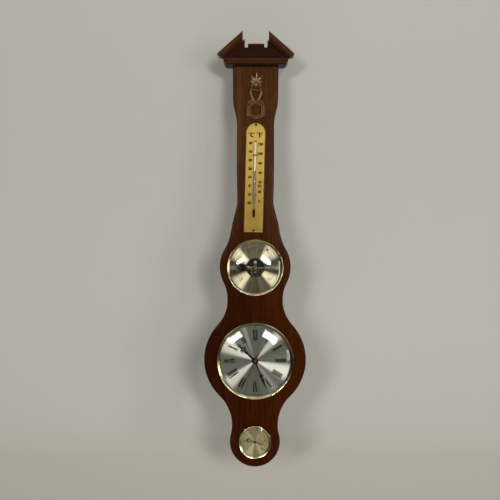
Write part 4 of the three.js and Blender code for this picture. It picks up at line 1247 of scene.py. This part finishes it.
def barometer_works():
    half = [(1.2, -14), (1.5, -11.6), (0.8, -9), (0.9, 0), (0.85, 16.8), (1.5, 17.4), (4.6, 18.6),
            (6.5, 21.4), (6.6, 24.6), (5.2, 27.6), (3.0, 29.4), (1.6, 30.8), (0.8, 32), (0.5, 36), (0, 41)]
    hand = blade(half, 3, 0.95, 4.2, 4.7, [round_hole(0, 27.4, 0.9, 15)])
    add("pressure_hand", hand, place(z=BAROMETER_Z, angle=270), BLACKED, "barometer_hand",
        "barometer_hand")
    half = [(1.5, -12), (1.9, -10.6), (1.3, -9), (1.2, 0), (0.95, 27), (2.3, 30.4), (1.2, 32.4), (0, 37)]
    turn = place(z=BAROMETER_Z, angle=92)
    pointer = slab([mirrored(half, 0.6)], [(0, 5.5), (0, 5.8), (0.12, 5.9)])
    boss = lathe([(0, 5.4), (2.6, 5.4), (2.6, 6.0), (2.2, 6.25), (1.2, 6.3), (1.2, 14), (0, 14)], 32)
    add("marker_hand", joined(pointer, boss), turn, SET_BRASS, "set_hand", "barometer_set_hand")
    shell = [(1.35, 11.8), (3.9, 11.8), (4.2, 12.4), (4.2, 13.4), (3.6, 14.4), (1.4, 14.95)]
    knob = lathe(rounded(shell, 0.3, 3) + [(1.35, 14.6)], 40)
    knob_top = lathe([(0, 14.3), (1.4, 14.3), (1.4, 14.9), (0, 15)], 32)
    add("marker_knob", joined(knob, knob_top), turn, SET_BRASS, "set_knob", "barometer_set_hand")
    waves = [(0, -14.4), (18.6, -14.4), (18.6, -12.4)]
    for i in range(37):
        r = 18 - i * 0.42
        waves.append((r, -11.2 + 1.0 * (18 - r) / 15 - 0.45 * math.cos((18 - r) * 1.9)))
    waves += [(2.9, -9.7), (2.9, -8.1), (2.6, -7.9), (0, -7.9)]
    add("capsule_corrugated", moved(lathe(waves, 96), z=CAPSULE_Z), place(z=BAROMETER_Z), CAPSULE,
        "aneroid_capsule")


barometer_face()
barometer_works()
cock_outline = [(-2.9, -3.4), (2.9, -3.4), (2.9, 11.4), (1.6, 13.2), (-1.6, 13.2), (-2.9, 11.4)]
cock = slab([rounded(cock_outline, 1.2)], [(0, -1.6), (0, -0.5), (0.3, -0.2)])
add("cock", cock, place(z=BAROMETER_Z), BRONZED, "pointer_cock")
head = lathe([(0, -0.6), (2.9, -0.6), (3.0, -0.1), (2.7, 0.7), (1.8, 1.1), (0.35, 1.15), (0, 1.15)], 36)
add("cock_screw_head", moved(head, z=9.8), place(z=BAROMETER_Z), SCREW_BRASS)
dress(BRIDGE_BLACK, "movement_bridge")
dress(BRASS_DULL, "sector_screw", "adjusting_screw",
      "movement_nut", "cannon_pinion", "barometer_case", "hygrometer_case")
# Painted shade: the base plate takes the dark bronzed colour for the shade inside the case.
dress(BRONZED, "sector_lever", "barometer_base_plate")
dress(CAPSULE, "capsule_spring")
dress(STEEL, "pointer_arbor", "clock_case", "battery_contact_positive",
      "battery_contact_negative", "hanger_plate", "hanger_screw_top", "hanger_screw_bottom")
dress(PLASTIC, "movement_housing", "movement_cover", "motion_wheel", "hour_wheel")
dress(COPPER, "stepper_coil", "humidity_coil")


# Hygrometer face
def hygrometer_face():
    marks = Print(FACE_U)
    for r, width in ((23.6, 0.18), (21.4, 0.14)):
        marks.ring(r, width, -DIAL_END, DIAL_END)
    for i in range(51):
        angle = -DIAL_END + 2 * DIAL_END * i / 50
        marks.ray(angle, 21.4, 23.4 if i % 5 == 0 else 22.4, 0.26)
        if i % 10 == 0:
            marks.write_round(i * 2, 2.7, 18.6, angle, 0.06)
    add_print("hygrometer_figures", marks, place(z=HYGROMETER_Z), FINE_PRINT)
    section = [(0, 2.9), (0, 3.2), (0.1, 3.3)]
    needle = [(0.9, -9.6), (0.55, 0), (0.55, 10), (1.3, 12), (0.6, 14), (0, 19)]
    crescent = arc(0, -11.8, 3.6, 150, 390, 12) + arc(0, -10.6, 2.2, 375, 165, 12)
    hub = lathe([(0, 2.8), (2.2, 2.8), (2.2, 3.5), (1.7, 3.75), (0.7, 3.8), (0.7, 4.4), (0, 4.4)], 32)
    staff = lathe([(0, -9.5), (0.7, -9.5), (0.7, 2.8), (0, 2.8)], 16)
    hand = joined(slab([mirrored(needle, 0.4)], section), slab([crescent], section), hub, staff)
    add("humidity_hand", hand, place(z=HYGROMETER_Z, angle=106), SMOKED, "hygrometer_hand",
        "hygrometer_hand")


hygrometer_face()


# Behind the clock: setting knob and cell
KNOB_RISE = 12


def setting_knob():
    """A knurled knob with a socket for its shaft."""
    count = 120
    knob = bmesh.new()
    rings = []
    for u, base in ((-17.3, 4.85), (-17.6, 5.0), (-19.0, 5.0), (-19.4, 4.6)):
        ring = []
        for i in range(count):
            angle = 2 * math.pi * i / count
            r = base - 0.22 * (i % 4 in (0, 1))
            ring.append(knob.verts.new((r * math.sin(angle), -u, r * math.cos(angle))))
        rings.append(ring)
    skin(knob, rings)
    knob.faces.new(rings[-1])
    angles = [2 * math.pi * i / 24 for i in range(24)]
    socket = [circle(knob, 1.6, u, angles) for u in (-17.3, -18.8)]
    skin(knob, socket)
    knob.faces.new(socket[1])
    fill(knob, (rings[0], socket[0]))
    where = place(z=CLOCK_Z + KNOB_RISE)
    add("setting_knob_knurled", solid(knob), where, PLASTIC, "setting_knob", "setting_knob",
        smooth=30)


def cell():
    """A cell on its side, with a pale band on its sleeve and bare metal ends."""
    profile = [(0, -24.4), (5.6, -24.4), (6.2, -24.2), (7.0, -23.9), (7.1, -23.4), (7.1, 22.2), (6.8, 22.8),
               (6.0, 23.0), (2.8, 23.0), (2.75, 24.1), (2.4, 24.4), (0, 24.4)]
    mesh = lathe(profile, 48)
    mesh.transform(Matrix.Translation((0, 9.6, -19.3)) @ Matrix.Rotation(LEVEL, 4, "Z"))
    paint = Paint("cell_sleeve_and_caps", (0.05, 0.09, 0.12), 0.3, 0.4)
    along = paint.axes()[0]
    ends = paint.math("GREATER_THAN", paint.math("ABSOLUTE", along), 22.6)
    band = paint.math("GREATER_THAN", along, 12)
    sleeve = paint.mix(band, (0.045, 0.085, 0.12), (0.40, 0.40, 0.38))
    paint.colour(paint.mix(ends, sleeve, (0.55, 0.55, 0.54)))
    add("cell", mesh, place(z=CLOCK_Z), paint.material, "battery")


setting_knob()
cell()


# Column of the thermometer: taken off its body, with its placing baked into its mesh
bpy.context.view_layer.update()
column_piece.parent = None
if "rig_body" in column_piece:
    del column_piece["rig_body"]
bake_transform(column_piece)


# Studio: a pale wall behind, a pale floor below, two soft windows, a ceiling panel and a lamp behind
STAGE_GREY = (0.425, 0.43, 0.405)
STAGE_FOOT_PAINTED_LIGHT = (0.49, 0.495, 0.468)
STAGE_WARM = (0.465, 0.455, 0.41)
STAGE_HALF = 9
STAGE_FRONT = -6
WALL_TOP = 1.0
WALL_SLOPE = 0.31
WALL_GAP = 0.116
WALL_GAP_Z = -0.1
FLOOR_Z = -1.65


def wall_depth(z):
    """The backdrop stands a little behind the board, and further back towards the floor."""
    return WALL_GAP - WALL_SLOPE * (z - WALL_GAP_Z)


def stage_paint(name):
    """Pale paper, with painted light that makes it a little lighter towards the foot of the piece, and warmer
    below it.
    """
    paint = Paint(name, STAGE_GREY, 0.9, gloss=0.1)
    height = paint.axes()[2]
    # Painted light: the paper lightens towards the foot of the piece.
    shade = paint.mix(paint.steps(height, -650, 100), STAGE_FOOT_PAINTED_LIGHT, STAGE_GREY)
    paint.colour(paint.mix(paint.steps(height, -790, -690), STAGE_WARM, shade))
    return paint


def stage_sheet(name, paint, *edges):
    """A sheet between two edges of (y, z)."""
    mesh = bmesh.new()
    (y0, z0), (y1, z1) = edges
    corners = ((-STAGE_HALF, y0, z0), (STAGE_HALF, y0, z0), (STAGE_HALF, y1, z1), (-STAGE_HALF, y1, z1))
    mesh.faces.new([mesh.verts.new(c) for c in corners])
    data = mesh_data(name, mesh)
    data.materials.append(paint.material)
    sheet = shown(name, data)
    return sheet


# The backdrop shows from its front alone
paper = stage_paint("backdrop_paper")
paper.surface(paper.node("NewGeometry").outputs["Backfacing"], paper.shader, paper.node("BsdfTransparent"))
wall_foot = (wall_depth(FLOOR_Z), FLOOR_Z)
stage_sheet("backdrop", paper, wall_foot, (wall_depth(WALL_TOP), WALL_TOP)).visible_shadow = False

# The floor stays pale far off
boards = stage_paint("floor_paint")
away = boards.length(boards.place((1, 1, 0)))
seen = boards.node("LightPath").outputs["Is Camera Ray"]
pale = boards.times(seen, boards.steps(away, 700, 3200, 0.0, 0.34))
boards.fill(boards.shader, {"Emission Color": PALE_SKY, "Emission Strength": pale})
stage_sheet("floor", boards, (STAGE_FRONT, FLOOR_Z), wall_foot)


def area_lamp(name, spot, size, watts, colour=(1, 1, 1), tilt=0.0, aim=(0, 0, -0.31)):
    """A panel that faces its aim; tilt turns it clockwise as seen from the piece."""
    data = bpy.data.lights.new(name, "AREA")
    data.shape = "RECTANGLE"
    data.size, data.size_y = size
    data.energy = watts
    data.color = colour
    lamp = shown(name, data)
    lamp.location = spot
    facing = (Vector(aim) - Vector(spot)).to_track_quat("-Z", "Y").to_matrix()
    lamp.rotation_euler = (facing @ Matrix.Rotation(tilt * DEGREE, 3, "Z")).to_euler()


WARM = (1, 0.97, 0.92)
COOL = (0.96, 0.98, 1)
area_lamp("window_right", (0.60, -3.0, 0.0), (0.62, 0.29), 46, WARM, -37)
area_lamp("window_left", (-0.76, -3.0, -0.02), (0.60, 0.25), 33, WARM, 37)
area_lamp("strip", (1.32, -2.9, -0.47), (0.09, 0.9), 6, WARM)
area_lamp("side_right", (2.2, -3.0, -0.5), (0.55, 0.55), 15, WARM)
area_lamp("upper_front", (0, -3.0, 1.4), (2.6, 0.7), 6, COOL)
area_lamp("ceiling", (0, -1.2, 2.1), (3.0, 1.6), 1, COOL, aim=(0, 0, -0.2))
area_lamp("behind", (0.3, 2.4, 0.6), (1.6, 1.6), 30)

# A dim room, which the camera sees as pale beyond the stage
world = bpy.data.worlds.new("room")
bpy.context.scene.world = world
world.use_nodes = True
room = Nodes(world.node_tree)
up = room.node("SeparateXYZ", {0: room.node("TexCoord").outputs["Generated"]}).outputs[2]
seen = room.node("LightPath").outputs["Is Camera Ray"]
strength = room.add(room.times(seen, 0.36), room.steps(up, -0.12, 0.75, 0.02, 0.06))
room.fill(room.tree.nodes["Background"], {"Color": PALE_SKY, "Strength": strength})

# Camera
FIELD_OF_VIEW = 35.2
CAMERA_ROLL = 0.13
camera_data = bpy.data.cameras.new("camera")
camera_data.sensor_width = 36
camera_data.angle = FIELD_OF_VIEW * DEGREE
camera = shown("camera", camera_data)
camera.location = (-0.0096, -1.453, -0.3060)
camera.rotation_euler = (90 * DEGREE, -CAMERA_ROLL * DEGREE, 0)
bpy.context.scene.camera = camera
bpy.context.scene.view_settings.view_transform = "Standard"

bpy.context.view_layer.update()
